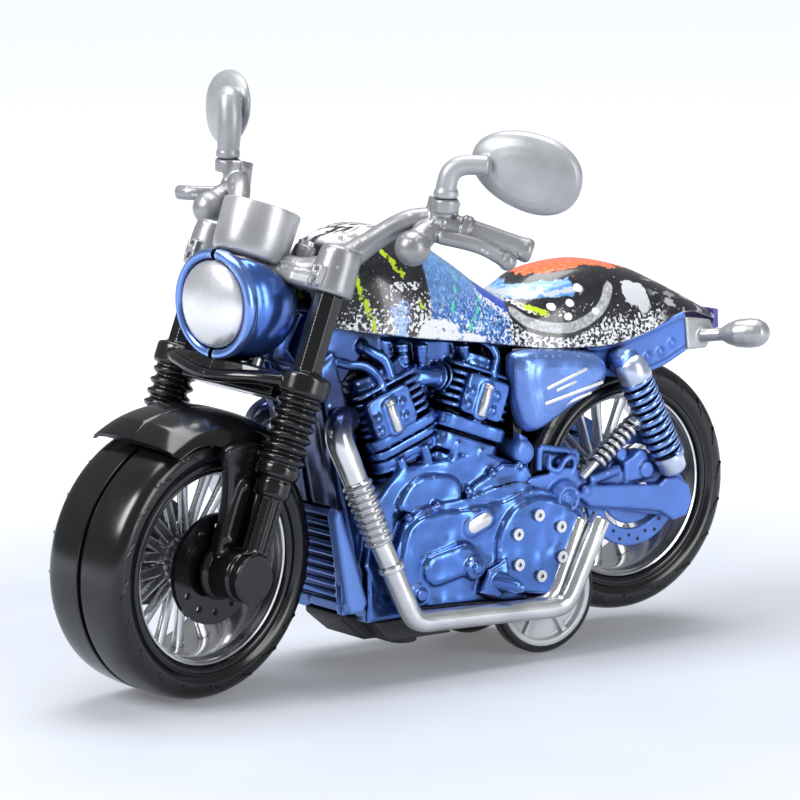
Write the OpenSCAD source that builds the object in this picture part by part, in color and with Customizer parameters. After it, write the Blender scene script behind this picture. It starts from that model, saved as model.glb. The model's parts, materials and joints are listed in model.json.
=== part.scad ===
// Pull-back toy motorcycle with a metal tank and seat shell, plated plastic engine and steerable fork.
// Millimetres. +X forward, +Y left, +Z up. Origin on the ground under the middle of the outer box.

/* [Stance] */
// distance between the wheel axles
axle_base = 80.4; // [70:0.1:90]
// rear axle behind the origin
rear_x = -39.9; // [-45:0.1:-30]
// middle plane of the body left of the origin
mid_y = 3.5; // [0:0.1:5]
// height of the front axle
front_z = 21; // [18:0.1:24]
// height of the rear axle, which the drive wheels hold clear of the ground
rear_z = 24.8; // [20:0.1:28]
// lean of the steering axis
rake = 20.8; // [15:0.1:30]
// steering axis behind the fork legs
axis_back = 3.0; // [0:0.1:6]
// angle the front end is turned to the left at rest
steer_rest = 12; // [0:0.5:20]

/* [Wheels] */
// outer radius of a road tyre
tyre_r = 20.8; // [18:0.1:23]
// half width of a road tyre
tyre_half = 8.2; // [6:0.1:10]
// bore radius of a road tyre
bead_r = 15.2; // [12:0.1:17]
// spoke pairs in a rim
spoke_pairs = 9; // [5:1:12]
// radius of a wheel axle rod
axle_r = 1.0; // [0.8:0.05:1.5]
// running clearance on radius
run_gap = 0.06; // [0.02:0.01:0.1]

/* [Drive] */
// drive axle ahead of the rear axle
drive_x = 18.8; // [15:0.1:22]
// outer radius of a drive wheel
drive_r = 9.8; // [8:0.1:11]
// outer face of a drive wheel
drive_out = 11.2; // [9:0.1:12]
// inner face of a drive wheel
drive_in = 8.6; // [8.4:0.1:9]
// gear module
gear_m = 0.6; // [0.5:0.05:0.8]
// teeth on a pinion
teeth_pinion = 8; // [8:1:12]
// teeth on the idler wheel
teeth_idler = 20; // [16:1:26]
// teeth on the spring wheel
teeth_spring = 24; // [20:1:30]
// half width of the motor case
case_half = 5.3; // [4.5:0.1:5.5]

/* [Fork] */
// fork leg centre line from the middle
leg_y = 13.8; // [12:0.1:15]
// upper fork tube radius
leg_r = 2.5; // [2:0.1:3]
// start of the bellows along the fork
bellows_low = 13.4; // [10:0.1:16]
// end of the bellows along the fork
bellows_high = 28.4; // [24:0.1:30]
// top of the black fork tube
leg_top = 44.6; // [40:0.1:48]
// top of the handlebar clamps
clamp_top = 51.6; // [48:0.1:54]
// inner radius of the front fender
fender_r = 21.9; // [21.5:0.1:24]

/* [Lamp] */
// headlamp axis height
lamp_z = 60; // [56:0.1:64]
// front edge of the lamp ring ahead of the rear axle
lamp_x = 75.4; // [72:0.1:78]
// lens radius
lens_r = 6.9; // [6:0.1:8]

/* [Shell] */
// wall of the metal shell
shell_wall = 1.1; // [0.8:0.1:2]
// roundness of the shell cross-section
shell_n = 2.4; // [2:0.1:4]

/* [Engine] */
// lean of each cylinder from upright
vee = 20; // [15:1:25]
// crank position ahead of the rear axle
crank_x = 38.2; // [34:0.1:42]
// crank height
crank_z = 20; // [16:0.1:24]
// outer face of the clutch cover
cover_y = 13.6; // [12:0.1:15]

/* [Hidden] */
sr = sin(rake);
cr = cos(rake);
drive_z = drive_r;
tooth_h = gear_m;
tyre_room = tyre_r + 0.5;
side_room = tyre_half + 0.35;
idler_a = 20;
spring_a = 60;
pitch_p = gear_m * teeth_pinion / 2;
pitch_i = gear_m * teeth_idler / 2;
pitch_s = gear_m * teeth_spring / 2;
idler_x = drive_x + (pitch_p + pitch_i) * cos(idler_a);
idler_z = drive_z + (pitch_p + pitch_i) * sin(idler_a);
spring_x = idler_x + (pitch_p + pitch_s) * cos(spring_a);
spring_z = idler_z + (pitch_p + pitch_s) * sin(spring_a);
pin_r = 0.8;
derby_x = 22;
derby_z = 18.2;
$fn = 48;

// ---- frames ----
// rear axle frame: x measured from the rear axle
module bike() {
  translate([rear_x, mid_y, 0]) children();
}
// front end turned about the leaning steering axis
module steered() {
  bike()
    translate([axle_base - axis_back / cr, 0, front_z])
      rotate(a = steer_rest, v = [-sr, 0, cr])
        translate([-axle_base + axis_back / cr, 0, -front_z])
          children();
}
// fork frame: origin on the front axle, z up along the legs, x forward
module fork() {
  translate([axle_base, 0, front_z]) rotate([0, -rake, 0]) children();
}
module flip() {
  mirror([0, 1, 0]) children();
}

// ---- helpers ----
module rod(p, q, r) {
  d = q - p;
  len = norm(d);
  translate(p)
    rotate([0, acos(d[2] / len), atan2(d[1], d[0])])
      cylinder(h = len, r = r);
}
module ball(p, r) {
  translate(p) sphere(r = r);
}
// round bar along a list of points with slightly proud ball joints
module bar(pts, r) {
  for (i = [0 : len(pts) - 2]) rod(pts[i], pts[i + 1], r);
  for (i = [1 : len(pts) - 2]) ball(pts[i], r + 0.06);
}
// outline in x and z, thick from y0 to y1
module slab(pts, y0, y1) {
  translate([0, y1, 0]) rotate([90, 0, 0]) linear_extrude(height = y1 - y0) polygon(pts);
}
// cylinder along y
module boss(x, z, y0, y1, r) {
  translate([x, y0, z]) rotate([-90, 0, 0]) cylinder(h = y1 - y0, r = r);
}
// rib profile turned about z
module ribs(z0, z1, count, r0, r1) {
  step = (z1 - z0) / count;
  rotate_extrude()
    polygon(concat([[0, z0]],
      [for (i = [0 : count - 1], k = [0, 1, 2, 3])
        [k == 0 || k == 3 ? r0 : r1, z0 + (i + [0.08, 0.3, 0.7, 0.92][k]) * step]],
      [[0, z1]]));
}
module gear(teeth, h) {
  rp = gear_m * teeth / 2;
  pitch = 360 / teeth;
  linear_extrude(height = h)
    polygon([for (i = [0 : teeth - 1], k = [0, 1, 2, 3])
      let (a = (i + [-0.3, -0.11, 0.11, 0.3][k]) * pitch,
           r = rp + (k == 1 || k == 2 ? 0.8 : -1.05) * tooth_h)
        [r * cos(a), r * sin(a)]]);
}
// gear with its axis along y, first tooth turned by a towards +z
module ygear(x, z, y0, y1, teeth, a) {
  translate([x, y1, z]) rotate([90, 0, 0]) rotate(a) gear(teeth, y1 - y0);
}

// ---- road wheels ----
module tyre_half() {
  rotate([-90, 0, 0])
    rotate_extrude($fn = 96)
      polygon([[bead_r, 0], [bead_r, tyre_half - 1.8], [bead_r + 0.5, tyre_half - 0.9],
        [bead_r + 1.6, tyre_half - 0.2], [bead_r + 2.8, tyre_half], [tyre_r - 1.9, tyre_half - 0.2],
        [tyre_r - 1, tyre_half - 0.9], [tyre_r - 0.35, tyre_half - 2.4], [tyre_r, tyre_half - 4.6],
        [tyre_r, 0.5], [tyre_r - 0.5, 0.3], [tyre_r - 0.6, 0]]);
}
module rim() {
  rotate([-90, 0, 0])
    difference() {
      union() {
        rotate_extrude($fn = 96)
          polygon([[bead_r, -6.4], [bead_r, 6.4], [bead_r - 0.6, 6.6], [bead_r - 1, 6.2],
            [bead_r - 1.6, 2.4], [bead_r - 1.6, -2.4], [bead_r - 1, -6.2], [bead_r - 0.6, -6.6]]);
        cylinder(h = 16, r = 2.6, center = true);
        cylinder(h = 5, r = 4.2, center = true);
        for (i = [0 : spoke_pairs - 1], s = [-1, 1])
          rotate(i * 360 / spoke_pairs)
            translate([8.8, s * 1.15, 0]) rotate(s * 3) cube([10.6, 0.95, 2.6], center = true);
      }
      cylinder(h = 18, r = axle_r + run_gap, center = true);
    }
}
module disc() {
  rotate([-90, 0, 0])
    difference() {
      cylinder(h = 0.9, r = 8.6);
      translate([0, 0, -1]) cylinder(h = 3, r = 2.62);
      for (a = [0 : 30 : 330]) rotate(a) translate([6.7, 0, -1]) cylinder(h = 3, r = 0.55, $fn = 24);
    }
}
module at_rear() {
  bike() translate([0, 0, rear_z]) children();
}
module at_front() {
  steered() translate([axle_base, 0, front_z]) children();
}
module rear_axle() {
  color("silver") at_rear() boss(0, 0, -13.2, 13.2, axle_r);
}
module rear_rim() {
  color("silver") at_rear() rim();
}
module rear_tyre_left() {
  color([0.06, 0.06, 0.07]) at_rear() tyre_half();
}
module rear_tyre_right() {
  color([0.06, 0.06, 0.07]) at_rear() flip() tyre_half();
}
module front_axle() {
  color("silver") at_front() boss(0, 0, -14.4, 14.4, axle_r);
}
module front_rim() {
  color("silver") at_front() rim();
}
module front_tyre_left() {
  color([0.06, 0.06, 0.07]) at_front() tyre_half();
}
module front_tyre_right() {
  color([0.06, 0.06, 0.07]) at_front() flip() tyre_half();
}
module front_disc_left() {
  color([0.1, 0.1, 0.11]) at_front() translate([0, 7, 0]) disc();
}
module front_disc_right() {
  color([0.1, 0.1, 0.11]) at_front() flip() translate([0, 7, 0]) disc();
}

// ---- fork ----
// fender from angle a over b degrees with its side reaching in to radius low
module fender_arc(a, b, low) {
  rotate([90, 0, 0]) rotate([0, 0, a])
    rotate_extrude(angle = b, $fn = 96)
      polygon([[fender_r, 0], [fender_r, -7.2], [fender_r - 1, -8.7], [low, -8.7],
        [low, -9.8], [fender_r - 0.2, -9.8], [fender_r + 0.9, -8.2], [fender_r + 1.5, -5],
        [fender_r + 1.8, 0]]);
}
module fork_half() {
  difference() {
    union() {
      fork() {
        translate([-0.5, leg_y, -2]) cylinder(h = bellows_low + 2.4, r = 2.7);
        translate([-0.5, leg_y, 0]) ribs(bellows_low, bellows_high, 8, 2.7, 3.5);
        translate([-0.5, leg_y, bellows_high - 0.4]) cylinder(h = 1.6, r = 3.7);
        translate([-0.5, leg_y, bellows_high + 1]) cylinder(h = 3.4, r = 3.9, $fn = 8);
        translate([-0.5, leg_y, 30]) cylinder(h = leg_top - 30, r = leg_r, $fn = 8);
        translate([-4.6, 0, 29.6]) cube([6.4, leg_y, 2.6]);
        translate([-2.2, 9.8, -2.4]) cube([3.6, 4, 9]);
      }
      translate([axle_base, 0, front_z]) {
        boss(0, 0, 9, 15.6, 3.7);
        boss(0, 0, 15.4, 16.4, 3.2);
        // crown and side of the fender, deeper at the stay
        fender_arc(62, 36, 20.4);
        fender_arc(97, 25, 17.6);
        // stay plate down to the axle boss
        slab([[-7.5, 17.4], [-1.2, 18.4], [-1.4, 11], [2.6, 4], [3.4, 0], [-3.2, -0.5], [-4.4, 6],
          [-7.4, 12]], 8.9, 10.2);
        boss(-3.6, 14.6, 10, 10.7, 0.8);
        boss(-0.4, 5.2, 10, 10.7, 0.8);
      }
    }
    translate([axle_base, 0, front_z]) boss(0, 0, 8, 14.5, axle_r);
    fork() translate([-axis_back, 0, 28]) cylinder(h = 8, r = 1.5);
  }
}
module fork_half_left() {
  color([0.05, 0.05, 0.055]) steered() fork_half();
}
module fork_half_right() {
  color([0.05, 0.05, 0.055]) steered() flip() fork_half();
}
module steering_stem() {
  color("dimgray") steered() fork() translate([-axis_back, 0, 29.6]) cylinder(h = 16.6, r = 1.5);
}

// ---- headlamp ----
module lamp_shell() {
  // lug that joins the bucket to the yoke
  fork() translate([1.6, 6.2, leg_top + 0.3]) cube([3.6, 2.6, 1.8]);
  difference() {
    translate([lamp_x, 0, lamp_z])
      rotate([0, -90, 0])
        rotate_extrude(angle = 180, $fn = 96)
            polygon([[lens_r - 0.2, 1.4], [lens_r - 0.2, 0.6], [lens_r + 0.7, 0], [8.3, 0.4],
              [8.4, 1.8], [8.2, 2], [8.9, 3], [9.7, 5.4], [10, 8], [9.7, 11], [8.8, 13.6],
              [7.8, 13.6], [8.7, 11], [9, 8], [8.7, 5.6], [7.6, 3.2], [7.2, 1.4]]);
    fork() translate([-12, -20, 44.2]) cube([15.4, 40, 20]);
    fork() translate([4.6, 0, 46.2]) cylinder(h = 12, r = 6.6);
    fork() translate([-12, -20, 20]) cube([11, 40, 12.6]);
    fork() translate([-axis_back, 0, 32]) cylinder(h = 12.6, r = 8);
  }
}
module headlamp_shell_left() {
  color([0.12, 0.2, 0.62]) steered() lamp_shell();
}
module headlamp_shell_right() {
  color([0.12, 0.2, 0.62]) steered() flip() lamp_shell();
}
module headlamp_lens() {
  color([0.85, 0.85, 0.88])
    steered() translate([lamp_x, 0, lamp_z]) rotate([0, 90, 0])
      rotate_extrude($fn = 96)
        polygon(concat([[0, -6.9], [1.6, -6.9], [1.6, -2.6], [7.2, -2.6], [7.2, -1.4], [lens_r - 0.2, -1.4],
          [lens_r - 0.2, -0.3]],
          [for (i = [1 : 8]) [(lens_r - 0.2) * cos(i * 90 / 8), 1.6 * sin(i * 90 / 8)]]));
}

// ---- handlebar ----
module bar_side(lever) {
  difference() {
    bar_parts(lever);
    translate([50, 24, 75.7]) cylinder(h = 2, r = pin_r + run_gap);
  }
}
module bar_parts(lever) {
  fork() {
    difference() {
      translate([-0.5, leg_y, leg_top]) cylinder(h = clamp_top - leg_top, r = 3.4);
      translate([2.2, leg_y - 0.35, leg_top - 1]) cube([3, 0.7, 9]);
    }
    translate([-2.5, 0, leg_top]) cube([4.9, leg_y, 2.4]);
    translate([-axis_back, 0, leg_top]) cylinder(h = 2.4, r = 2.4);
    translate([-1.9, 4.8, leg_top + 2]) cylinder(h = 4.6, r = 1.6);
  }
  bar([[60, 11.6, 66.2], [57.4, 13.6, 68.6], [54.4, 16.4, 71.6], [52, 18.8, 73.4],
    [49.6, 21.6, 73.8]], 1.7);
  // switch block, reservoir bulb and grip
  translate([49.4, 22.4, 73.6]) rotate([0, -12, -20]) cube([4.4, 3.4, 6.8], center = true);
  ball([55.2, 22.4, 69.9], 2.7);
  rod([54.8, 22.2, 70.4], [50.4, 22.2, 72.6], 1.8);
  rod([49, 23, 73.2], [40.4, 33.4, 69.4], 2);
  rod([46, 26.6, 71.9], [47.4, 24.9, 72.5], 2.3);
  // mirror socket
  translate([50, 24, 75.4]) cylinder(h = 1.9, r = 1.9);
  rod(lever[0], lever[1], 0.9);
  rod(lever[1], lever[2], 0.85);
  ball(lever[1], 1.1);
  ball(lever[len(lever) - 1], 1.4);
}
module handlebar() {
  color([0.62, 0.63, 0.65])
    steered() {
      bar_side([[51.4, 24, 71.6], [47.6, 29, 70.4], [44.4, 32, 68.2]]);
      flip() bar_side([[51.6, 23.6, 71.8], [54.4, 27.4, 71.6], [54.8, 30.4, 71.4]]);
      fork() difference() {
        translate([4.6, 0, leg_top + 1.6]) cylinder(h = 2.8, r = 5.2);
        translate([4.6, 0, leg_top + 3]) cylinder(h = 2.8, r = 1.6);
      }
    }
}
module gauge_cup() {
  color([0.64, 0.65, 0.67])
    steered() fork() translate([4.6, 0, leg_top + 4.4])
      difference() {
        union() {
          cylinder(h = 6.1, r1 = 5.8, r2 = 6.1);
          translate([0, 0, -1.4]) cylinder(h = 1.6, r = 1.6);
        }
        translate([0, 0, 4.9]) cylinder(h = 3, r = 5.3);
      }
}
module clamp_screws() {
  color([0.75, 0.75, 0.77])
    steered() fork()
      for (s = [-1, 1]) translate([-1.9, s * 4.8, leg_top + 6.6])
        difference() {
          cylinder(h = 0.8, r = 1.3);
          for (a = [0, 90]) rotate(a) translate([-1, -0.2, 0.4]) cube([2, 0.4, 1]);
        }
}
// mirror: elbow stem in the socket with an oval head turned outwards
module mirror_side(lift, out) {
  bar([[50, 24, 77.7], [49.8, 24, 80.4 + lift], [48.6, 24.9, 82.2 + lift], [46, 28.6, 82.4 + lift]], 1.6);
  translate([50, 24, 77.36]) cylinder(h = 1, r = 1.9);
  translate([50, 24, 75.8]) cylinder(h = 2, r = pin_r);
  translate([41.8 + out, 32.6 + out, 81.8 + lift]) rotate([0, 0, 24]) rotate([-14, 0, 0])
    intersection() {
      scale([0.36, 1.5, 1]) sphere(r = 6.1);
      translate([-0.9, -12, -8]) cube([6, 24, 16]);
    }
}
module mirror_left() {
  color([0.7, 0.71, 0.73]) steered() mirror_side(0, 0);
}
module mirror_right() {
  color([0.7, 0.71, 0.73]) steered() flip() mirror_side(2, 0.7);
}

// ---- metal shell ----
// x from the rear axle, lower edge, crown, half width
STATIONS = [[57.8, 56, 62.4, 5.6], [56.4, 55.4, 67, 7.6], [53.4, 54.8, 69.2, 9.4],
  [47.6, 53.8, 70.3, 11.2], [40, 52.6, 68.4, 11.6], [33, 51.6, 64.2, 11], [27, 50.6, 60, 9.8],
  [21.6, 49.6, 57.2, 9], [17.6, 49, 58.8, 9.6], [13.4, 48.8, 60.8, 10.2], [5, 48.6, 61.6, 10.4],
  [-3, 50, 60, 10], [-9, 51.9, 57.4, 8.8], [-14.4, 52, 54.6, 7.2], [-18, 51, 52.8, 5.8],
  [-20.6, 50.2, 51.7, 4.8]];
// smooth value k of the stations at position t
function blend(t, k) =
  let (n = len(STATIONS) - 1, i = min(floor(t), n - 1), f = t - i,
       a = STATIONS[max(i - 1, 0)][k], b = STATIONS[i][k],
       c = STATIONS[i + 1][k], d = STATIONS[min(i + 2, n)][k])
    b + 0.5 * f * (c - a + f * (2 * a - 5 * b + 4 * c - d + f * (3 * (b - c) + d - a)));
function signed_pow(v, e) = (v < 0 ? -1 : 1) * pow(abs(v), e);
function arch(x, zb, zt, hw, m) =
  [for (j = [0 : m - 1]) let (a = 180 * j / (m - 1))
    [x, hw * signed_pow(cos(a), 2 / shell_n), zb + (zt - zb) * pow(max(sin(a), 0), 2 / shell_n)]];
function thin(t) = min(shell_wall, 0.45 * (blend(t, 2) - blend(t, 1)));
function section(t, m) = concat(
  arch(blend(t, 0), blend(t, 1), blend(t, 2), blend(t, 3), m),
  [for (j = [m - 1 : -1 : 0])
    arch(blend(t, 0), blend(t, 1), blend(t, 2) - thin(t), blend(t, 3) - shell_wall, m)[j]]);
module tank_seat_shell() {
  m = 25;
  cuts = 3 * (len(STATIONS) - 1);
  pts = [for (i = [0 : cuts]) each section(i / 3, m)];
  n = 2 * m;
  color([0.2, 0.2, 0.24])
    bike()
      polyhedron(points = pts, faces = concat(
        [for (i = [0 : cuts - 1], j = [0 : n - 1], h = [0, 1])
          h == 0 ? [i * n + j, i * n + (j + 1) % n, (i + 1) * n + j]
                 : [i * n + (j + 1) % n, (i + 1) * n + (j + 1) % n, (i + 1) * n + j]],
        [for (j = [0 : m - 2], h = [0, 1])
          h == 0 ? [j, n - 1 - j, j + 1] : [j + 1, n - 1 - j, n - 2 - j]],
        [for (j = [0 : m - 2], h = [0, 1]) let (b = cuts * n)
          h == 0 ? [b + j, b + j + 1, b + n - 1 - j] : [b + j + 1, b + n - 2 - j, b + n - 1 - j]]));
}

// ---- engine ----
// one finned cylinder, half depth, standing on the crank
module pot() {
  translate([-5, 0, 10]) cube([10, 8.4, 20]);
  for (i = [0 : 5]) translate([-6.2, 0, 13 + i * 1.5]) cube([12.4, 9.6, 0.85]);
  translate([-6, 0, 22]) cube([12, 9.4, 5]);
  for (i = [0 : 3]) translate([-6.6, 0, 22.4 + i * 1.5]) cube([13.2, 10, 0.8]);
  translate([-5.4, 0, 27.8]) cube([10.8, 8.8, 1.9]);
  // rocker plate with two bolts on each side of the rib
  translate([-1.4, 0, 21.6]) cube([7, 10.5, 6.6]);
  for (sx = [-0.4, 4.6], sz = [22.8, 27]) translate([sx, 0, sz]) rotate([-90, 0, 0])
    cylinder(h = 10.9, r = 0.6, $fn = 24);
  // push rod tubes
  for (sx = [-2.2, 2.2]) translate([sx, 9, 8]) cylinder(h = 5.2, r = 1.1);
}
module pot_front() {
  translate([crank_x, 0, crank_z]) rotate([0, vee, 0]) children();
}
module pot_rear() {
  translate([crank_x, 0, crank_z]) rotate([0, -vee, 0]) children();
}
module engine_half() {
  difference() {
    union() {
      slab([[9, 14], [14, 10.6], [50, 11], [53, 18], [50.6, 28], [46, 32.6], [30, 33.6], [23, 31],
        [21.6, 27.6], [12, 27.4]], 0, 10.4);
      pot_front() pot();
      pot_rear() pot();
      // clutch side cover
      boss(41, 18.4, 8, 11.8, 8.4);
      boss(21.6, 18.6, 8, 12.4, 9.4);
      slab([[21.6, 9.2], [41, 10], [41, 26.8], [23, 27.9]], 8, 11.8);
      boss(41, 17.6, 11, 12.4, 6.2);
      boss(derby_x, derby_z, 12, cover_y, 7.6);
      // upper gear cases
      boss(40.4, 28, 7, 10.9, 5.2);
      boss(31.6, 30, 7, 10.9, 3.8);
      boss(14.2, 26.4, 7, 11.6, 3.3);
      boss(14.2, 26.4, 11, 12.2, 1.5);
      // gear lever boss and foot peg
      boss(37.6, 15.8, 12, 13.2, 3.2);
      boss(34.4, 15.6, 12, 14.8, 1.9);
      rod([34.4, 14, 15.4], [30.4, 15.4, 14.4], 1.1);
      rod([31, 13.4, 13.4], [27.6, 16.2, 12.2], 1.5);
      boss(44.6, 12.6, 11, 12.8, 1.9);
      // induction pipe and air box under the shell
      rod([44, 3.4, 44.1], [34, 3.4, 44.1], 3.1);
      boss(39.4, 44.6, 2, 8.2, 3.2);
      slab([[31, 47], [46, 47], [47, 52.6], [30, 51]], 0, 6.6);
      // leads from the air box to the heads
      bar([[44.6, 6.4, 51], [46.6, 8.4, 48.6], [46.8, 9, 45.6]], 0.7);
      bar([[41, 6.4, 51], [41.6, 8.2, 48.4], [43.6, 9, 44.4]], 0.7);
      rod([31.6, 5.4, 48.9], [27.2, 8.9, 48.6], 0.75);
      rod([27.3, 8.8, 49.1], [26.4, 9, 45.4], 0.85);
      // spine under the shell and steering head
      slab([[58.4, 47], [61.6, 52], [58.6, 57.6], [54.6, 58.4], [26, 54], [20, 51.6], [20, 48],
        [30, 50], [50, 50.4], [54, 46]], 0, 6.4);
      fork() translate([-axis_back, 0, 33]) cylinder(h = 10.6, r = 3);
      fork() translate([-9.4, 0, 33.2]) cube([7, 2.8, 8]);
      // front down tubes and shroud
      slab([[50, 10.6], [53.6, 10.6], [56.2, 26], [58.6, 40], [61, 50], [57, 52], [53.4, 40],
        [50.6, 26]], 5.6, 9);
      slab([[50, 26.6], [56.4, 27], [58.6, 40.4], [55, 42], [52, 34]], 0, 7.6);
      slab([[42, 8.8], [53, 8.6], [52.6, 24], [48, 24]], 6, 10.4);
    }
    // split plane
    translate([-20, -30, -5]) cube([140, 30, 100]);
    // motor bay and room for the rear tyre
    translate([8, -1, 2]) cube([32.6, case_half + 1.1, 28.4]);
    boss(0, rear_z, -1, side_room, tyre_room);
    boss(drive_x, drive_z, -1, drive_out + 0.7, drive_r + 0.9);
    slab([[30, 0], [56, 0], [56, 9.6], [30, 9.6]], -1, 5.5);
    // steering bore
    fork() translate([-axis_back, 0, 20]) cylinder(h = 60, r = 1.5 + run_gap);
  }
}
module engine_half_left() {
  color([0.16, 0.27, 0.72]) bike() engine_half();
}
module engine_half_right() {
  color([0.16, 0.27, 0.72]) bike() flip() engine_half();
}
// plated rocker ribs and inspection window on both sides
module trim_side() {
  pot_front() translate([0.6, 10.5, 21.2]) cube([1.8, 0.5, 6.8]);
  pot_rear() translate([0.9, 10.5, 21]) cube([1.8, 0.5, 6.8]);
  translate([32.6, 11.8, 23.2]) rotate([0, -24, 0]) {
    translate([-1.7, 0, -1.1]) cube([3.4, 0.5, 2.2]);
    for (s = [-1, 1]) boss(s * 1.7, 0, 0, 0.5, 1.1);
  }
}
module engine_trim() {
  color("gainsboro") bike() {
    trim_side();
    flip() trim_side();
  }
}
module cover_screws() {
  color("gainsboro") bike()
    for (side = [0, 1]) mirror([0, side, 0])
      for (i = [0 : 5]) let (a = 60 * i + 28)
        translate([derby_x + 4.9 * cos(a), cover_y, derby_z + 4.9 * sin(a)])
          rotate([-90, 0, 0]) difference() {
            cylinder(h = 0.6, r = 0.95, $fn = 24);
            translate([0, 0, 0.3]) cylinder(h = 1, r = 0.4, $fn = 6);
          }
}
module radiator_grille() {
  color([0.16, 0.27, 0.72]) bike() difference() {
    union() {
      slab([[53.8, 11.4], [54.6, 10.8], [56.4, 11], [57.2, 26], [55.6, 27]], -9, 9);
      for (s = [-1, 1]) translate([0, s * 8.4, 0])
        slab([[53.6, 10.6], [56.6, 10.4], [57.4, 26.6], [55.8, 27.2]], -0.8, 0.8);
    }
    for (i = [0 : 8]) translate([56, -7.4, 12.2 + i * 1.6]) cube([4, 14.8, 0.8]);
  }
}
module base_plate() {
  color([0.08, 0.08, 0.09]) bike() difference() {
    union() {
      slab([[34.6, 5.2], [50, 5.2], [54, 8.6], [54, 9.6], [38, 9.6]], -5.4, 5.4);
      slab([[36, 5.2], [48, 5.2], [51, 8.6], [36, 8.6]], -9, 9);
      for (s = [-1, 1]) translate([43, s * 5.4, 4.2]) cylinder(h = 3, r = 2.4);
    }
    for (s = [-1, 1]) translate([43, s * 5.4, 4.19]) cylinder(h = 1.6, r = 1.3);
  }
}

// ---- exhaust ----
module pipe_side() {
  bar([[54, 7.6, 40.4], [58.2, 11.5, 38.9], [55.3, 12.68, 30.4]], 1.6);
  bar([[52.8, 13.3, 23.2], [50.3, 13.9, 17.6], [47.6, 14.4, 11],
    [46.6, 14.4, 9.6], [44.6, 14.4, 9], [18.6, 14.4, 8], [16.2, 14.5, 9.8], [10.4, 14.6, 21.6]], 1.7);
  bar([[20.6, 13.4, 8.6], [18.4, 13, 10.2], [13.2, 12.9, 21.6]], 1.35);
  // ribbed flex section and collar
  d = [52.4, 13.4, 22.2] - [55.6, 12.6, 31.1];
  translate([55.6, 12.6, 31.1]) rotate([0, acos(d[2] / norm(d)), atan2(d[1], d[0])])
    ribs(0, norm(d), 9, 1.8, 2.35);
  rod([50.8, 13.8, 18.8], [50.1, 13.95, 17.1], 2.1);
}
module exhaust_left() {
  color([0.8, 0.8, 0.82]) bike() pipe_side();
}
module exhaust_right() {
  color([0.8, 0.8, 0.82]) bike() flip() pipe_side();
}

// ---- rear frame ----
module frame_half() {
  difference() {
    union() {
      // fender strut and inner fender
      slab([[12, 44.4], [9.4, 48.3], [4, 48.3], [-3, 50], [-11.2, 52.6], [-11.6, 46], [-6, 43.4],
        [2, 42.4]], 7.6, 9.6);
      rotate([90, 0, 0]) translate([0, rear_z, 0]) rotate([0, 0, 66]) rotate_extrude(angle = 54, $fn = 96)
        polygon([[21.7, 0], [21.7, -8], [22.6, -8], [22.6, 0]]);
      slab([[-8, 46], [-11.2, 52], [-11.6, 46]], 0, 8.4);
      // seat post
      slab([[21.4, 31.4], [23.4, 33.4], [23.4, 49.4], [10, 48.8], [9, 46.4], [21.4, 46.8]], 0, 8.8);
      slab([[8, 44], [22, 44], [22, 48.4], [8, 48.2]], 7.6, 9.4);
      slab([[21.6, 28], [23.4, 31.4], [23.4, 36], [21.6, 36]], 5.6, 9.4);
      // swing arm
      slab([[23, 27.9], [14.6, 30.2], [12, 29], [4, 28.2], [-2, 28.9], [-6.4, 27.8], [-10, 24.6],
        [-9.6, 20.6], [-4, 19.7], [4, 21.5], [10, 22.3], [18, 24.9], [22.6, 28]], 10.2, 12.6);
      slab([[23.4, 28.1], [21.5, 28.1], [21.5, 35], [23.4, 36]], 8.6, 12.4);
      boss(15.6, 30.6, 9.8, 13.2, 1.5);
      boss(0, rear_z, 8.9, 13.8, 2.7);
      boss(0, rear_z, 13.6, 14.4, 1.7);
      // brake plate and caliper
      difference() {
        boss(0, rear_z, 8.7, 9.6, 9.8);
        for (a = [0 : 24 : 336])
          boss(8 * cos(a), rear_z + 8 * sin(a), 8, 10, 0.6);
      }
      boss(0, rear_z, 9.4, 10.4, 4.6);
      slab([[-6.6, 27], [-1, 28.4], [-0.6, 31.8], [-4, 34.4], [-8, 32]], 9, 12);
    }
    boss(0, rear_z, -1, side_room, tyre_room);
    boss(0, rear_z, 8, 13.3, axle_r);
    translate([-40, -30, 0]) cube([80, 30, 80]);
  }
}
module rear_frame_left() {
  color([0.16, 0.27, 0.72]) bike() frame_half();
}
module rear_frame_right() {
  color([0.16, 0.27, 0.72]) bike() flip() frame_half();
}
module side_panel() {
  hull() {
    for (p = [[23.2, 47.2], [21.8, 38.6], [20.2, 37.4], [9, 42], [7.4, 44], [9, 46.8]]) {
      translate([p[0], 9.5, p[1]]) rotate([-90, 0, 0]) cylinder(h = 0.6, r = 1, $fn = 24);
    }
    for (p = [[23.4, 46.4], [21.8, 39.6], [20.8, 39], [10.8, 43], [10.2, 46]])
      translate([p[0], 12, p[1]]) sphere(r = 1.2, $fn = 20);
  }
}
module side_cover_left() {
  color([0.2, 0.32, 0.8]) bike() side_panel();
}
module side_cover_right() {
  color([0.2, 0.32, 0.8]) bike() flip() side_panel();
}
module coil(p, q, count, r0, r1) {
  d = q - p;
  translate(p) rotate([0, acos(d[2] / norm(d)), atan2(d[1], d[0])]) ribs(0, norm(d), count, r0, r1);
}
module shock_side() {
  coil([1.4, 12.4, 42.8], [-3.6, 13.2, 29.6], 10, 2.2, 2.9);
  rod([2.6, 12.2, 45.8], [1, 12.5, 41.8], 2.4);
  rod([-3.2, 13.1, 30.6], [-4.5, 13.3, 27.4], 2.2);
  boss(2.6, 46, 9.6, 13.6, 2);
  boss(-4.6, 27.2, 12.6, 14, 1.9);
}
module shock_left() {
  color([0.16, 0.27, 0.72]) bike() shock_side();
}
module shock_right() {
  color([0.16, 0.27, 0.72]) bike() flip() shock_side();
}
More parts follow.
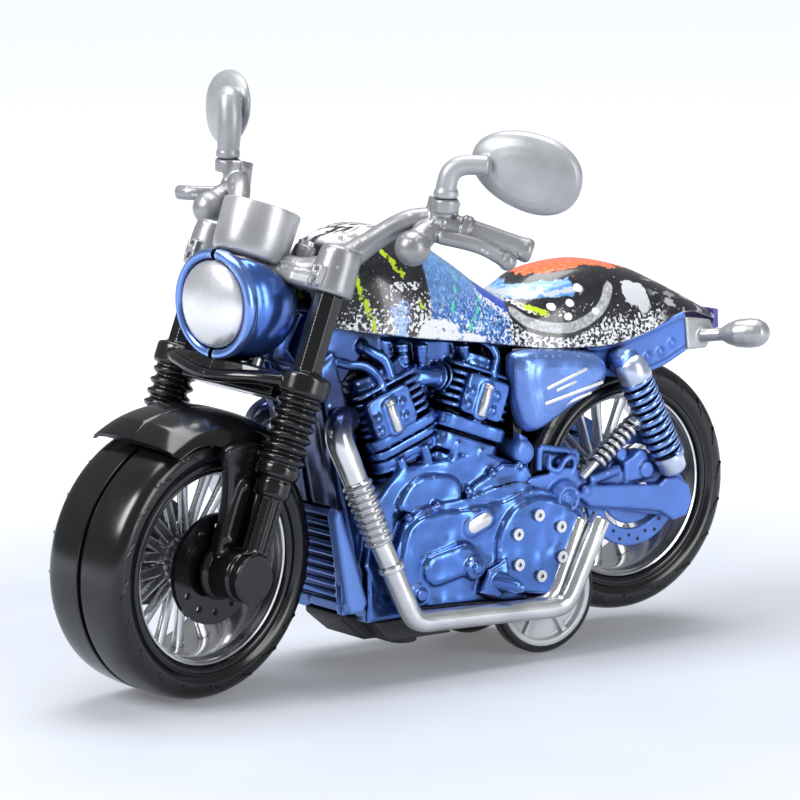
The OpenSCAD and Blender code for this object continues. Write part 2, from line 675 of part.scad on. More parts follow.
module damper_side() {
  coil([1.6, 11.4, 35], [10.4, 11.4, 30.4], 8, 0.9, 1.5);
  rod([-1.6, 11.4, 36.4], [1.8, 11.4, 34.9], 0.8);
  rod([10.2, 11.4, 30.5], [12.4, 11.4, 29.3], 0.8);
}
module damper_left() {
  color([0.75, 0.75, 0.77]) bike() damper_side();
}
module damper_right() {
  color([0.75, 0.75, 0.77]) bike() flip() damper_side();
}
module tail_bracket() {
  color([0.6, 0.62, 0.65]) bike() {
    slab([[-11.6, 46], [-11.2, 51.4], [-16.4, 50.6], [-17.4, 48.8], [-15.6, 46]], -9.2, 9.2);
    for (s = [0, 1]) mirror([0, s, 0]) {
      rod([-14.4, 8.4, 48], [-17, 13.2, 48.6], 1.1);
      translate([-16.2, 12, 48.5]) rotate([0, 86, 122])
        rotate_extrude() polygon([[0, 0], [0.9, 0], [1.7, 1.3], [2.3, 3], [2.45, 5], [2.3, 6.6],
          [1.7, 7.7], [0.8, 8.3], [0, 8.4]]);
    }
  }
}
module tail_lamp() {
  color([0.2, 0.18, 0.5]) bike()
    slab([[-20.7, 49.4], [-20.7, 51.6], [-21.7, 51.5], [-21.8, 48.4], [-19.4, 48.2]], -4.6, 4.6);
}

// ---- pull-back motor ----
module case_side() {
  difference() {
    slab([[9, 5], [33.8, 5], [40, 12], [40.2, 26], [36, 30], [21, 30], [14, 14]], 0, case_half);
    slab([[6, 5.8], [33.4, 5.8], [39.2, 12.3], [39.4, 25.6], [35.6, 29.2], [12, 29.2]], -1,
      case_half - 0.9);
    boss(0, rear_z, -1, 9, tyre_room - 0.2);
    for (p = [[drive_x, drive_z], [idler_x, idler_z], [spring_x, spring_z]])
      boss(p[0], p[1], -2, 9, axle_r + run_gap);
  }
}
module motor_case_left() {
  color([0.15, 0.15, 0.16]) bike() case_side();
}
module motor_case_right() {
  color([0.15, 0.15, 0.16]) bike() flip() case_side();
}
module drive_axle() {
  color("silver") bike() boss(drive_x, drive_z, -drive_out + 0.2, drive_out - 0.2, axle_r);
}
module drive_pinion() {
  color("goldenrod") bike() difference() {
    ygear(drive_x, drive_z, 2.6, 4, teeth_pinion, idler_a);
    boss(drive_x, drive_z, -9, 9, axle_r);
  }
}
module idler_gear() {
  // the idler shows a gap to the drive pinion, and its own pinion shows a tooth to the spring wheel
  color("white") bike() {
    ygear(idler_x, idler_z, 2.6, 4, teeth_idler, idler_a + 180 + 180 / teeth_idler);
    ygear(idler_x, idler_z, 0.7, 2.7, teeth_pinion, spring_a);
    boss(idler_x, idler_z, -5, 5, axle_r);
  }
}
module spring_drum() {
  color("white") bike() {
    ygear(spring_x, spring_z, 0.7, 2, teeth_spring, spring_a + 180 + 180 / teeth_spring);
    boss(spring_x, spring_z, -4, 1, 1.8);
    boss(spring_x, spring_z, -5, 5, axle_r);
  }
}
module mainspring() {
  turns = 4;
  n = 24 * turns;
  color("slategray") bike() translate([spring_x, 0.4, spring_z]) rotate([90, 0, 0])
    linear_extrude(height = 3.8)
      polygon(concat(
        [for (i = [0 : n]) let (a = 360 * turns * i / n, r = 1.9 + 4.4 * i / n)
          [r * cos(a), r * sin(a)]],
        [for (i = [n : -1 : 0]) let (a = 360 * turns * i / n, r = 2.2 + 4.4 * i / n)
          [r * cos(a), r * sin(a)]]));
}
module hub_side() {
  difference() {
    union() {
      boss(drive_x, drive_z, drive_in, drive_out - 1.2, drive_r - 1.1);
      difference() {
        boss(drive_x, drive_z, drive_out - 1.4, drive_out, drive_r - 1.1);
        boss(drive_x, drive_z, drive_out - 1.3, drive_out + 1, drive_r - 2.1);
      }
      boss(drive_x, drive_z, drive_out - 1.4, drive_out, 2.4);
      for (a = [0 : 60 : 300])
        translate([drive_x, drive_out - 0.9, drive_z]) rotate([0, a, 0])
          translate([0, -0.4, -0.5]) cube([drive_r - 1.4, 0.9, 1]);
    }
    boss(drive_x, drive_z, 0, drive_out - 0.2, axle_r);
  }
}
module drive_hub_left() {
  color([0.75, 0.75, 0.77]) bike() hub_side();
}
module drive_hub_right() {
  color([0.75, 0.75, 0.77]) bike() flip() hub_side();
}
module ring_side() {
  translate([drive_x, 0, drive_z]) rotate([-90, 0, 0]) rotate_extrude($fn = 72)
    polygon([[drive_r - 1.1, drive_in], [drive_r - 0.4, drive_in], [drive_r, drive_in + 0.5],
      [drive_r, drive_out - 0.7], [drive_r - 0.4, drive_out - 0.2], [drive_r - 1.1, drive_out - 0.2]]);
}
module drive_tyre_left() {
  color([0.05, 0.05, 0.06]) bike() ring_side();
}
module drive_tyre_right() {
  color([0.05, 0.05, 0.06]) bike() flip() ring_side();
}

engine_half_left();
engine_half_right();
rear_frame_left();
rear_frame_right();
side_cover_left();
side_cover_right();
tank_seat_shell();
tail_lamp();
tail_bracket();
radiator_grille();
base_plate();
exhaust_left();
exhaust_right();
shock_left();
shock_right();
damper_left();
damper_right();
cover_screws();
engine_trim();
motor_case_left();
motor_case_right();
mainspring();
spring_drum();
idler_gear();
drive_axle();
drive_pinion();
drive_hub_left();
drive_hub_right();
drive_tyre_left();
drive_tyre_right();
rear_axle();
rear_rim();
rear_tyre_left();
rear_tyre_right();
front_axle();
front_rim();
front_tyre_left();
front_tyre_right();
front_disc_left();
front_disc_right();
fork_half_left();
fork_half_right();
steering_stem();
headlamp_shell_left();
headlamp_shell_right();
headlamp_lens();
gauge_cup();
handlebar();
clamp_screws();
mirror_left();
mirror_right();
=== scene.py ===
import bmesh
import bpy
import json
import math
from mathutils import Matrix, Vector


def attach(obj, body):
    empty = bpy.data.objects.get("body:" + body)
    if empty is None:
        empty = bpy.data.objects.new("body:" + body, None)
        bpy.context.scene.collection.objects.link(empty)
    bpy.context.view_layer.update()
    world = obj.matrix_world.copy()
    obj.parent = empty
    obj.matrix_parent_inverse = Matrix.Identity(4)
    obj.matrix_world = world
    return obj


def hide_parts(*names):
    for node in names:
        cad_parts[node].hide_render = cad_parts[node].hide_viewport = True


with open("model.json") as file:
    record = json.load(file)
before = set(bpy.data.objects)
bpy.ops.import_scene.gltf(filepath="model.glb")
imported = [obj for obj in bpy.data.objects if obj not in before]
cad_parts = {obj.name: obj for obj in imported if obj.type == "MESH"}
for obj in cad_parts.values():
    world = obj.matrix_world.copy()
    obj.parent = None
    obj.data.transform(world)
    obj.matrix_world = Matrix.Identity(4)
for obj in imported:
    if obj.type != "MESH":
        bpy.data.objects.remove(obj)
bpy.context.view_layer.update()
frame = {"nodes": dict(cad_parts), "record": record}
nodes = frame["nodes"]
JOINTS = {j["name"]: j for j in frame["record"]["behaviour"]["joints"]}


# --- frames: drawn in millimetres, +x forward, +y left, +z up, the rear axle above the origin
MM = 0.001
REST_STEER = 12            # degrees the front end is turned to the left at rest
RAKE = 20.8                # degrees the fork leans back
FRONT = (80.4, 0, 21.0)    # front axle when the wheel points straight ahead


def place(x=0.0, y=0.0, z=0.0):
    return Matrix.Translation((x, y, z))


def turn(axis, deg):
    return Matrix.Rotation(math.radians(deg), 4, axis)


def aim(p, q):
    """Frame at p whose z runs towards q."""
    d = Vector(q) - Vector(p)
    return Matrix.Translation(p) @ d.to_track_quat("Z", "Y").to_matrix().to_4x4()


rear_axle = Vector(JOINTS["rear_wheel_spin"]["pos_m"])
steer_point = Vector(JOINTS["steering"]["pos_m"])
ORIGIN = Vector((rear_axle.x, rear_axle.y, 0))
REAR_Z = rear_axle.z / MM

BIKE = Matrix.Translation(ORIGIN) @ Matrix.Scale(MM, 4)
STEER = (Matrix.Translation(steer_point) @ turn(Vector(JOINTS["steering"]["axis"]).normalized(), REST_STEER)
         @ Matrix.Translation(-steer_point) @ BIKE)
REAR_WHEEL = BIKE @ place(0, 0, REAR_Z)
FRONT_WHEEL = STEER @ place(*FRONT)
LEG = turn("Y", -RAKE)
RAKED = place(*FRONT) @ LEG
LAMP = place(75.4, 0, 60) @ turn("Y", -90)
SIDE = turn("X", -90)      # local z becomes +y
FLIP = Matrix.Scale(-1, 4, (0, 1, 0))


# --- mesh kit
def around(n):
    """Angles of n even steps round a circle."""
    return [2 * math.pi * i / n for i in range(n)]


def polar(r, angle, x=0.0, y=0.0):
    """Point on a circle about (x, y)."""
    return x + r * math.cos(angle), y + r * math.sin(angle)


def spline(points, steps, closed=False):
    """Catmull-Rom points through the given ones."""
    pts = [Vector(p) for p in points]
    n = len(pts)
    out = []
    for i in range(n if closed else n - 1):
        if closed:
            a, b, c, d = (pts[(i + k) % n] for k in (-1, 0, 1, 2))
        else:
            b, c = pts[i], pts[i + 1]
            a = pts[i - 1] if i else b * 2 - c
            d = pts[i + 2] if i + 2 < n else c * 2 - b
        for s in range(steps):
            f = s / steps
            out.append(b + 0.5 * f * (c - a + f * (2 * a - 5 * b + 4 * c - d + f * (3 * (b - c) + d - a))))
    if not closed:
        out.append(pts[-1])
    return out


def curve(points, steps=4, closed=False):
    """Smooth flat line through (x, y) points."""
    return [(p.x, p.y) for p in spline([(x, y, 0) for x, y in points], steps, closed)]


def rounded(points, steps=4):
    """Smooth closed outline through (x, y) points."""
    return curve(points, steps, True)


def inset(pts, d):
    """Flat outline moved inwards by d."""
    if not d:
        return [Vector(p) for p in pts]
    out = []
    for i in range(len(pts)):
        p, q, r = (Vector(pts[(i + k) % len(pts)]) for k in (-1, 0, 1))
        e1, e2 = (q - p).normalized(), (r - q).normalized()
        n1, n2 = Vector((-e1.y, e1.x)), Vector((-e2.y, e2.x))
        b = n1 + n2
        b = b.normalized() if b.length > 1e-6 else n1
        out.append(q + b * (d / max(b.dot(n1), 0.35)))
    return out


class Shape:
    """Collects vertices and faces in one local frame, in millimetres."""

    def __init__(self, m=BIKE):
        self.v, self.f, self.k, self.m = [], [], [], m

    def grid(self, rows, local=None, wrap_u=False, wrap_v=False, caps=False, mat=0):
        """Rows of points joined by quads. u runs along a row, v over the rows."""
        n, m = len(rows), len(rows[0])
        faces = []
        for i in range(n if wrap_v else n - 1):
            for j in range(m if wrap_u else m - 1):
                a, b = i * m + j, i * m + (j + 1) % m
                c, d = ((i + 1) % n) * m + (j + 1) % m, ((i + 1) % n) * m + j
                faces.append((a, b, c, d))
        if caps:
            faces += [tuple(range(m))[::-1], tuple((n - 1) * m + j for j in range(m))]
        first = len(self.v)
        t = self.m @ local if local is not None else self.m
        order = -1 if t.determinant() < 0 else 1
        self.v += [t @ Vector(p) for row in rows for p in row]
        self.f += [[first + i for i in face][::order] for face in faces]
        self.k += [mat] * len(faces)

    def lathe(self, profile, seg=64, local=None, closed=False):
        """Profile of (radius, height) turned about local z."""
        rows = [[(*polar(r, a), h) for r, h in profile] for a in around(seg)]
        self.grid(rows, local, wrap_u=closed, wrap_v=True)

    def spin(self, profile, seg=64, local=None):
        """Lathe with both ends closed flat on the axis."""
        self.lathe([(0.0, profile[0][1]), *profile, (0.0, profile[-1][1])], seg, local)

    def tube(self, points, radius, seg=20, squash=1.0, local=Matrix()):
        """Round bar along points with closed, rounded ends."""
        pts = [local @ Vector(p) for p in points]
        n = len(pts)
        rad = [radius(i / (n - 1)) if callable(radius) else radius for i in range(n)]
        tang = [(pts[min(i + 1, n - 1)] - pts[max(i - 1, 0)]).normalized() for i in range(n)]
        up = Vector((0, 0, 1)) if abs(tang[0].z) < 0.9 else Vector((0, 1, 0))
        side = tang[0].cross(up).normalized()
        ends = {0: [(-0.0, 0.05), (0.0, 0.7), (0.12, 0.9), (0.3, 1.0)],
                n - 1: [(-0.3, 1.0), (-0.12, 0.9), (0.0, 0.7), (0.0, 0.05)]}
        rows = []
        for i in range(n):
            side = (side - tang[i] * side.dot(tang[i])).normalized()
            top = tang[i].cross(side)
            for shift, scale in ends.get(i, [(0, 1.0)]):
                c = pts[i] + tang[i] * shift * rad[i]
                rows.append([c + (side * math.cos(a) + top * math.sin(a) * squash) * rad[i] * scale
                             for a in around(seg)])
        self.grid(rows, wrap_u=True, caps=True)

    def prism(self, outline, y0, y1, edge=0.25, local=None):
        """Outline of (x, z) thick from y0 to y1 with chamfered rims."""
        turned = [outline[-1], *outline[:-1]]
        area = sum(p[0] * q[1] - q[0] * p[1] for p, q in zip(turned, outline))
        pts = outline if area > 0 else outline[::-1]
        layers = [(edge, y0), (edge * 0.3, y0 + edge * 0.3), (0, y0 + edge), (0, y1 - edge),
                  (edge * 0.3, y1 - edge * 0.3), (edge, y1)]
        rows = [[(p[0], y, p[1]) for p in inset(pts, d)][::-1] for d, y in layers]
        self.grid(rows, local, wrap_u=True, caps=True)

    def deck(self, outline, z0, z1, local, edge=0.25):
        """Outline of (x, y) thick along local z."""
        self.prism([(x, -y) for x, y in outline], z0, z1, edge, local @ turn("X", 90))

    def box(self, size, local, edge=0.2):
        x, y, z = (s / 2 for s in size)
        self.prism([(-x, -z), (x, -z), (x, z), (-x, z)], -y, y, edge, local)

    def boss(self, x, z, y0, y1, r, edge=0.3, seg=40):
        """Round post along y with a chamfered outer end."""
        self.spin([(r, y0), (r, y1 - edge), (r - edge * 0.3, y1 - edge * 0.3), (r - edge, y1)], seg,
                  place(x, 0, z) @ SIDE)

    def washer(self, x, z, y0, y1, r0, r1, seg=72):
        """Flat ring along y."""
        c = 0.15
        self.lathe([(r0, y0), (r1, y0), (r1, y1 - c), (r1 - c, y1), (r0 + c, y1), (r0, y1 - c)], seg,
                   place(x, 0, z) @ SIDE, closed=True)

    def button(self, x, z, y, r=0.62, h=0.5, local=Matrix()):
        """Round-headed bolt whose head rises along +y."""
        self.spin([(r * 1.45, -0.6), (r * 1.45, 0.12), (r, 0.16), (r * 0.95, h * 0.7), (r * 0.6, h)], 20,
                  local @ place(x, y, z) @ SIDE)

    def ball(self, r, local, steps, seg):
        angles = [math.pi * k / steps for k in range(steps + 1)]
        self.lathe([(r * math.sin(a), -r * math.cos(a)) for a in angles], seg, local)

    def coil(self, p, q, r, wire, turns, per=16):
        """Wire wound from p towards q, with per points to a turn."""
        length = (Vector(q) - Vector(p)).length
        n = int(turns * per)
        self.tube([(*polar(r, 2 * math.pi * i / per), length * i / n) for i in range(n + 1)], wire, 10,
                  local=aim(p, q))

    def join(self, other):
        first = len(self.v)
        self.v += other.v
        self.f += [[i + first for i in face] for face in other.f]
        self.k += other.k

    def build(self, name, looks, body, replaces=(), sharp=40, modifiers=()):
        """Make the object. looks names its materials."""
        me = bpy.data.meshes.new(name)
        me.from_pydata([tuple(p) for p in self.v], [], self.f)
        for look in looks.split():
            me.materials.append(MATS[look])
        me.polygons.foreach_set("material_index", self.k)
        ob = bpy.data.objects.new(name, me)
        bpy.context.scene.collection.objects.link(ob)
        finish_mesh(ob, sharp)
        for kind, opts in modifiers:
            add_mod(ob, kind, **opts)
        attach(ob, body)
        if replaces:
            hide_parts(*replaces)
        return ob

    def fuse(self, name, look, body, replaces=(), voxel=0.2, rounds=3):
        """Build as one moulding, with everything melted together and every edge rounded."""
        mods = [("REMESH", {"mode": "VOXEL", "voxel_size": voxel * MM, "use_smooth_shade": True}),
                ("SMOOTH", {"factor": 0.5, "iterations": rounds})]
        return self.build(name, look, body, replaces, 40, mods)


def half(side, m=BIKE):
    """Shape drawn as the left one; the right one comes out mirrored."""
    return Shape(m if side == "left" else m @ FLIP)


def add_mod(ob, kind, **opts):
    mod = ob.modifiers.new(kind.lower(), kind)
    for k, v in opts.items():
        setattr(mod, k, v)


def finish_mesh(ob, sharp):
    """Consistent outward normals and smooth shading with sharp edges kept."""
    bm = bmesh.new()
    bm.from_mesh(ob.data)
    bmesh.ops.remove_doubles(bm, verts=bm.verts, dist=2e-6)
    bmesh.ops.dissolve_degenerate(bm, edges=bm.edges, dist=1e-7)
    bmesh.ops.recalc_face_normals(bm, faces=bm.faces)
    limit = math.radians(sharp)
    for f in bm.faces:
        f.smooth = True
    for e in bm.edges:
        e.smooth = len(e.link_faces) == 2 and e.calc_face_angle(0) < limit
    bm.to_mesh(ob.data)
    bm.free()


# --- material kit
class Mat:
    """A node material with coordinates in millimetres of the object's own frame."""

    def __init__(self, name):
        self.mat = bpy.data.materials.new(name)
        self.mat.use_nodes = True
        self.t = self.mat.node_tree
        self.bsdf = next(n for n in self.t.nodes if n.type == "BSDF_PRINCIPLED")
        tc = self.t.nodes.new("ShaderNodeTexCoord")
        self.mm = self.vec("MULTIPLY", tc.outputs["Object"], (1000, 1000, 1000))

    def bike(self):
        """The same coordinates, from the drawing's origin."""
        return self.vec("SUBTRACT", self.mm, tuple(c / MM for c in ORIGIN))

    def node(self, kind, **props):
        n = self.t.nodes.new(kind)
        for k, v in props.items():
            setattr(n, k, v)
        return n

    def put(self, socket, value):
        if hasattr(value, "is_output"):
            self.t.links.new(value, socket)
        elif hasattr(value, "__len__") and len(value) == 3 and socket.type == "RGBA":
            socket.default_value = (*value, 1)
        else:
            socket.default_value = value

    def vec(self, op, a, b=None):
        n = self.node("ShaderNodeVectorMath", operation=op)
        self.put(n.inputs[0], a)
        if b is not None:
            self.put(n.inputs[1], b)
        return n.outputs["Value" if op in ("DOT_PRODUCT", "LENGTH") else "Vector"]

    def math(self, op, a, b=None):
        n = self.node("ShaderNodeMath", operation=op)
        self.put(n.inputs[0], a)
        if b is not None:
            self.put(n.inputs[1], b)
        return n.outputs[0]

    def times(self, first, *others):
        for other in others:
            first = self.math("MULTIPLY", first, other)
        return first

    def plus(self, a, b):
        return self.math("ADD", a, b)

    def minus(self, a, b):
        return self.math("SUBTRACT", a, b)

    def most(self, a, b):
        return self.math("MAXIMUM", a, b)

    def xyz(self, v):
        n = self.node("ShaderNodeSeparateXYZ")
        self.put(n.inputs[0], v)
        return tuple(n.outputs)

    def noise(self, scale, detail=2.0, rough=0.5, vec=None, distort=0.0):
        n = self.node("ShaderNodeTexNoise")
        self.put(n.inputs["Vector"], vec or self.mm)
        for key, val in (("Scale", scale), ("Detail", detail), ("Roughness", rough), ("Distortion", distort)):
            n.inputs[key].default_value = val
        return n.outputs["Fac"]

    def flakes(self, scale):
        """A random shade for each small cell."""
        n = self.node("ShaderNodeTexVoronoi", feature="F1")
        self.put(n.inputs["Vector"], self.mm)
        n.inputs["Scale"].default_value = scale
        return self.vec("DOT_PRODUCT", n.outputs["Color"], (0.333, 0.333, 0.333))

    def ramp(self, fac, lo, hi, a=0.0, b=1.0):
        """Smooth step from a to b while fac goes from lo to hi."""
        n = self.node("ShaderNodeMapRange", clamp=True, interpolation_type="SMOOTHSTEP")
        for key, val in (("Value", fac), ("From Min", lo), ("From Max", hi), ("To Min", a), ("To Max", b)):
            self.put(n.inputs[key], val)
        return n.outputs["Result"]

    def mix(self, fac, a, b):
        n = self.node("ShaderNodeMix", data_type="RGBA", blend_type="MIX")
        self.put(n.inputs["Factor"], fac)
        for socket, val in zip([s for s in n.inputs if s.type == "RGBA"], (a, b)):
            self.put(socket, val)
        return next(s for s in n.outputs if s.type == "RGBA")

    def bump(self, height, distance_mm, strength, normal=None):
        n = self.node("ShaderNodeBump")
        n.inputs["Strength"].default_value = strength
        n.inputs["Distance"].default_value = distance_mm * MM
        self.put(n.inputs["Height"], height)
        if normal is not None:
            self.put(n.inputs["Normal"], normal)
        return n.outputs["Normal"]

    def edge(self, lo, hi):
        """1 past hi in the mesh's own curvature: over 0.5 on convex edges, under it in hollows."""
        return self.ramp(self.node("ShaderNodeNewGeometry").outputs["Pointiness"], lo, hi)

    def crevice(self, dist_mm):
        """1 in the open, 0 deep in corners."""
        n = self.node("ShaderNodeAmbientOcclusion", samples=16)
        n.inputs["Distance"].default_value = dist_mm * MM
        return n.outputs["AO"]

    def out(self, **sockets):
        for k, v in sockets.items():
            self.put(self.bsdf.inputs[k.replace("_", " ")], v)
        return self.mat


def engine_painted_shade(m, col, dark):
    """Painted shade: darker colour in the middle of the engine, under the tank and behind the fork."""
    x, y, z = m.xyz(m.bike())
    inner = m.times(m.ramp(m.math("ABSOLUTE", y), 8.0, 5.6), m.ramp(z, 18, 26))
    front = m.times(m.ramp(x, 48.5, 53.5), m.times(m.ramp(z, 23, 29), m.ramp(z, 52, 47)))
    return m.mix(m.most(m.times(inner, 0.65), m.times(front, 0.8)), col, dark)


def pipe_painted_reflection(m, col, dark):
    """Painted reflection: the upper end of the pipe darkens towards navy, for the dark engine mirrored in it.
    """
    return m.mix(m.ramp(m.xyz(m.bike())[2], 36.5, 41.5, 0, 0.95), col, (0.02, 0.04, 0.16))


def moulded(name, color, dark=None, rough=0.35, metallic=0.0, flake=0.0, coat=0.0, edge=None, ao=0.7,
            ao_mm=1.6, bump=0.25, hollow_shade=0.0, edge_highlight_mix=0.55, wide_shade=0.0, shade=None, wave=0.0):
    """Injection-moulded or painted plastic: grain, mottled gloss, painted shade in corners and hollows,
    painted highlights on convex edges, and any painted light that the given function adds.
    """
    m = Mat(name)
    # dark is the colour painted in as shade
    dark = dark or tuple(c * 0.35 for c in color)
    broad = m.noise(0.12, 3)
    fine = m.noise(2.4, 3)
    col = m.mix(m.ramp(broad, 0.35, 0.68), tuple(c * 0.88 for c in color),
                tuple(min(1, c * 1.1) for c in color))
    if flake:
        bright = tuple(min(1, c * 1.9 + 0.03) for c in color)
        col = m.mix(m.times(m.ramp(m.flakes(12.0), 0.45, 0.8), flake), col, bright)
    # painted light: the shade function paints shade or a reflection into the colour
    if shade:
        col = shade(m, col, dark)
    # painted highlight: the edge colour on convex edges
    if edge:
        col = m.mix(m.times(m.edge(0.512, 0.6), edge_highlight_mix), col, edge)
    # painted shade in concave hollows
    if hollow_shade:
        col = m.mix(m.times(m.edge(0.49, 0.44), hollow_shade), col, dark)
    # painted shade where the broad occlusion test finds cover
    if wide_shade:
        col = m.mix(m.times(m.ramp(m.crevice(6.0), 0.6, 0.15), wide_shade), col, dark)
    # painted shade in corners and creases
    if ao:
        col = m.mix(m.times(m.ramp(m.crevice(ao_mm), 0.85, 0.3), ao), col, dark)
    r = m.plus(m.ramp(fine, 0.3, 0.7, rough * 0.95, rough * 1.08), m.ramp(broad, 0.3, 0.7, -0.03, 0.04))
    height = m.plus(m.times(m.noise(5.5, 2), 0.6), m.times(m.noise(0.6, 2), 1.2))
    swell = m.bump(m.noise(0.16, 1), wave, 1.0) if wave else None
    return m.out(Base_Color=col, Roughness=r, Metallic=metallic, Coat_Weight=coat, Coat_Roughness=0.12,
                 Normal=m.bump(height, 0.02, bump, swell))


# edge colours below are painted highlights on convex edges; the hollow, wide and ao settings paint shade into
# hollows and corners
MATS = {
    "blue": moulded(
        "metallic_blue", (0.06, 0.15, 0.50), (0.002, 0.006, 0.05), rough=0.22, metallic=0.85, flake=0.1,
        coat=0.4, edge=(0.36, 0.56, 0.98), ao=0.97, ao_mm=2.4, bump=0.06, hollow_shade=0.8, edge_highlight_mix=0.7),
    # engine: painted shade deep in the engine and under the tank, from its shade function
    "engine": moulded(
        "engine_blue", (0.068, 0.165, 0.50), (0.001, 0.004, 0.035), rough=0.22, metallic=0.85, flake=0.1,
        coat=0.4, edge=(0.40, 0.60, 1.0), ao=0.97, ao_mm=2.2, bump=0.06, hollow_shade=0.9, edge_highlight_mix=0.8,
        wide_shade=0.8, shade=engine_painted_shade, wave=1.6),
    "black": moulded("gloss_black", (0.005, 0.005, 0.006), rough=0.17, ao=0.3, bump=0.03),
    "tyre": moulded("tyre_black", (0.005, 0.005, 0.006), rough=0.19, ao=0.3, bump=0.04),
    "chrome": moulded(
        "bright_rim", (0.6, 0.6, 0.62), (0.02, 0.02, 0.025), rough=0.18, metallic=1.0, ao=0.95, ao_mm=3,
        bump=0.03),
    "silver": moulded(
        "silver_paint", (0.68, 0.69, 0.71), (0.08, 0.08, 0.1), rough=0.24, metallic=0.85, ao=0.6,
        ao_mm=1.0, bump=0.02),
    "grey": moulded(
        "bar_grey", (0.29, 0.295, 0.305), (0.07, 0.07, 0.08), rough=0.36, metallic=0.55, flake=0.05,
        edge=(0.75, 0.75, 0.78), bump=0.12),
    "mirror": moulded(
        "mirror_grey", (0.36, 0.37, 0.385), (0.12, 0.12, 0.13), rough=0.4, metallic=0.45, flake=0.04,
        ao=0.5, bump=0.12),
    "pearl": moulded(
        "pearl_lens", (0.72, 0.73, 0.76), (0.3, 0.3, 0.32), rough=0.27, metallic=0.7, ao=0, bump=0.01),
    "base": moulded("base_black", (0.02, 0.02, 0.022), rough=0.5, ao=0.3),
    "steel": moulded("steel", (0.6, 0.6, 0.62), rough=0.28, metallic=1.0, ao=0.3),
    "acetal": moulded("white_acetal", (0.82, 0.82, 0.78), (0.5, 0.5, 0.46), rough=0.45, ao=0.3),
    "brass": moulded("brass", (0.75, 0.56, 0.22), rough=0.28, metallic=1.0, ao=0.3),
    "spring": moulded("spring_steel", (0.3, 0.31, 0.36), rough=0.3, metallic=1.0, ao=0.3),
    "hub": moulded("hub_grey", (0.55, 0.56, 0.58), (0.3, 0.3, 0.32), metallic=0.2, ao=0.6),
    # lighter than the other plated blue parts: a painted highlight for the lit side cover
    "panel": moulded(
        "panel_blue", (0.14, 0.26, 0.66), (0.004, 0.015, 0.1), rough=0.27, metallic=0.7, flake=0.12,
        coat=0.35, edge=(0.5, 0.66, 0.98), ao=0.85, bump=0.05, hollow_shade=0.6, edge_highlight_mix=0.6, wave=0.8),
    "frame": moulded(
        "satin_frame", (0.13, 0.27, 0.72), (0.006, 0.02, 0.12), rough=0.42, metallic=0.4, flake=0.1,
        coat=0.15, edge=(0.4, 0.55, 0.95), bump=0.1),
    "arm": moulded(
        "satin_blue", (0.09, 0.20, 0.60), (0.004, 0.014, 0.09), rough=0.38, metallic=0.5, flake=0.08,
        coat=0.2, edge=(0.34, 0.5, 0.92), ao=0.9, ao_mm=2.0, bump=0.08, hollow_shade=0.7, edge_highlight_mix=0.6),
    "cap": moulded(
        "cap_silver", (0.55, 0.62, 0.78), (0.08, 0.12, 0.3), rough=0.28, metallic=0.85, ao=0.6, bump=0.04),
    "gauge": moulded(
        "gauge_silver", (0.42, 0.425, 0.44), (0.12, 0.12, 0.13), rough=0.34, metallic=0.6, flake=0.04,
        edge=(0.75, 0.75, 0.78), ao=0.3, bump=0.03),
    "spoke": moulded(
        "spoke_silver", (0.66, 0.67, 0.69), (0.05, 0.05, 0.06), rough=0.25, metallic=0.9, ao=0.6,
        ao_mm=0.8, bump=0.03),
    "violet": moulded(
        "tail_violet", (0.1, 0.07, 0.36), rough=0.3, metallic=0.2, coat=0.3, ao=0.4, bump=0.1),
    # exhaust: its dark upper end is a painted reflection of the engine
    "pipe": moulded(
        "exhaust_silver", (0.70, 0.71, 0.73), (0.06, 0.07, 0.1), rough=0.22, metallic=0.88, ao=0.75,
        ao_mm=0.8, bump=0.02, shade=pipe_painted_reflection),
}
SLOT_OF = {
    "blue": "plated_blue", "black": "black_gloss", "tyre": "tyre", "chrome": "rim_chrome",
    "silver": "silver_paint", "grey": "bar_grey", "mirror": "mirror_grey", "pearl": "lens_pearl",
    "base": "base_black", "steel": "steel", "acetal": "gear_white", "brass": "brass",
    "spring": "spring_steel", "hub": "hub_grey", "violet": "tail_violet",
}
CAD_LOOK = {slot: look for look, slot in SLOT_OF.items()}
CAD_LOOK["printed_shell"] = "blue"
SLOT_OF.update(engine="plated_blue", panel="plated_blue", frame="plated_blue", arm="plated_blue",
               cap="silver_paint", pipe="silver_paint", gauge="bar_grey", print="printed_shell")
for part in frame["record"]["subparts"]:
    ob = nodes[part["node"]]
    ob.data.materials.clear()
    look = "gauge" if part["node"] == "tail_bracket" else CAD_LOOK[part["material_slot"]]
    ob.data.materials.append(MATS[look])


# --- moulded fillets on the CAD bodies
def soften(node, voxel, rounds):
    """Remesh and relax a CAD body so that every edge gets a moulded radius."""
    add_mod(nodes[node], "REMESH", mode="VOXEL", voxel_size=voxel * MM, use_smooth_shade=True)
    add_mod(nodes[node], "SMOOTH", factor=0.5, iterations=rounds)


soften("drive_hub_left", 0.16, 3)
soften("drive_hub_right", 0.16, 3)
soften("tail_bracket", 0.2, 6)
soften("radiator_grille", 0.2, 2)
soften("base_plate", 0.25, 3)


# --- road wheels
TYRE_HALF = [(15.2, 6.5), (15.22, 7.1), (15.55, 7.6), (16, 7.78), (16.4, 7.7), (16.7, 7.55), (17, 7.72),
        (17.7, 8.12), (18.5, 8.18), (19.3, 8), (19.95, 7.5), (20.38, 6.7), (20.6, 5.6), (20.74, 4.2),
        (20.79, 2.4), (20.8, 0.8), (20.74, 0.52), (20.45, 0.42), (20.15, 0.4), (20.1, 0)]
RIM_HALF = [(15.25, 6.3), (15.3, 6.95), (15.05, 7.2), (14.75, 7.12), (14.55, 6.8), (14.5, 6.3), (14.1, 5.9),
            (13.95, 5.2), (13.85, 3.2), (13.8, 0)]
HUB_HALF = [(1.15, 7.9), (2.3, 7.9), (2.6, 7.6), (2.6, 4.2), (3, 3.4), (4, 3), (4.3, 2.6)]
TREAD_PAIRS = 20
SPOKE_PAIRS = 9


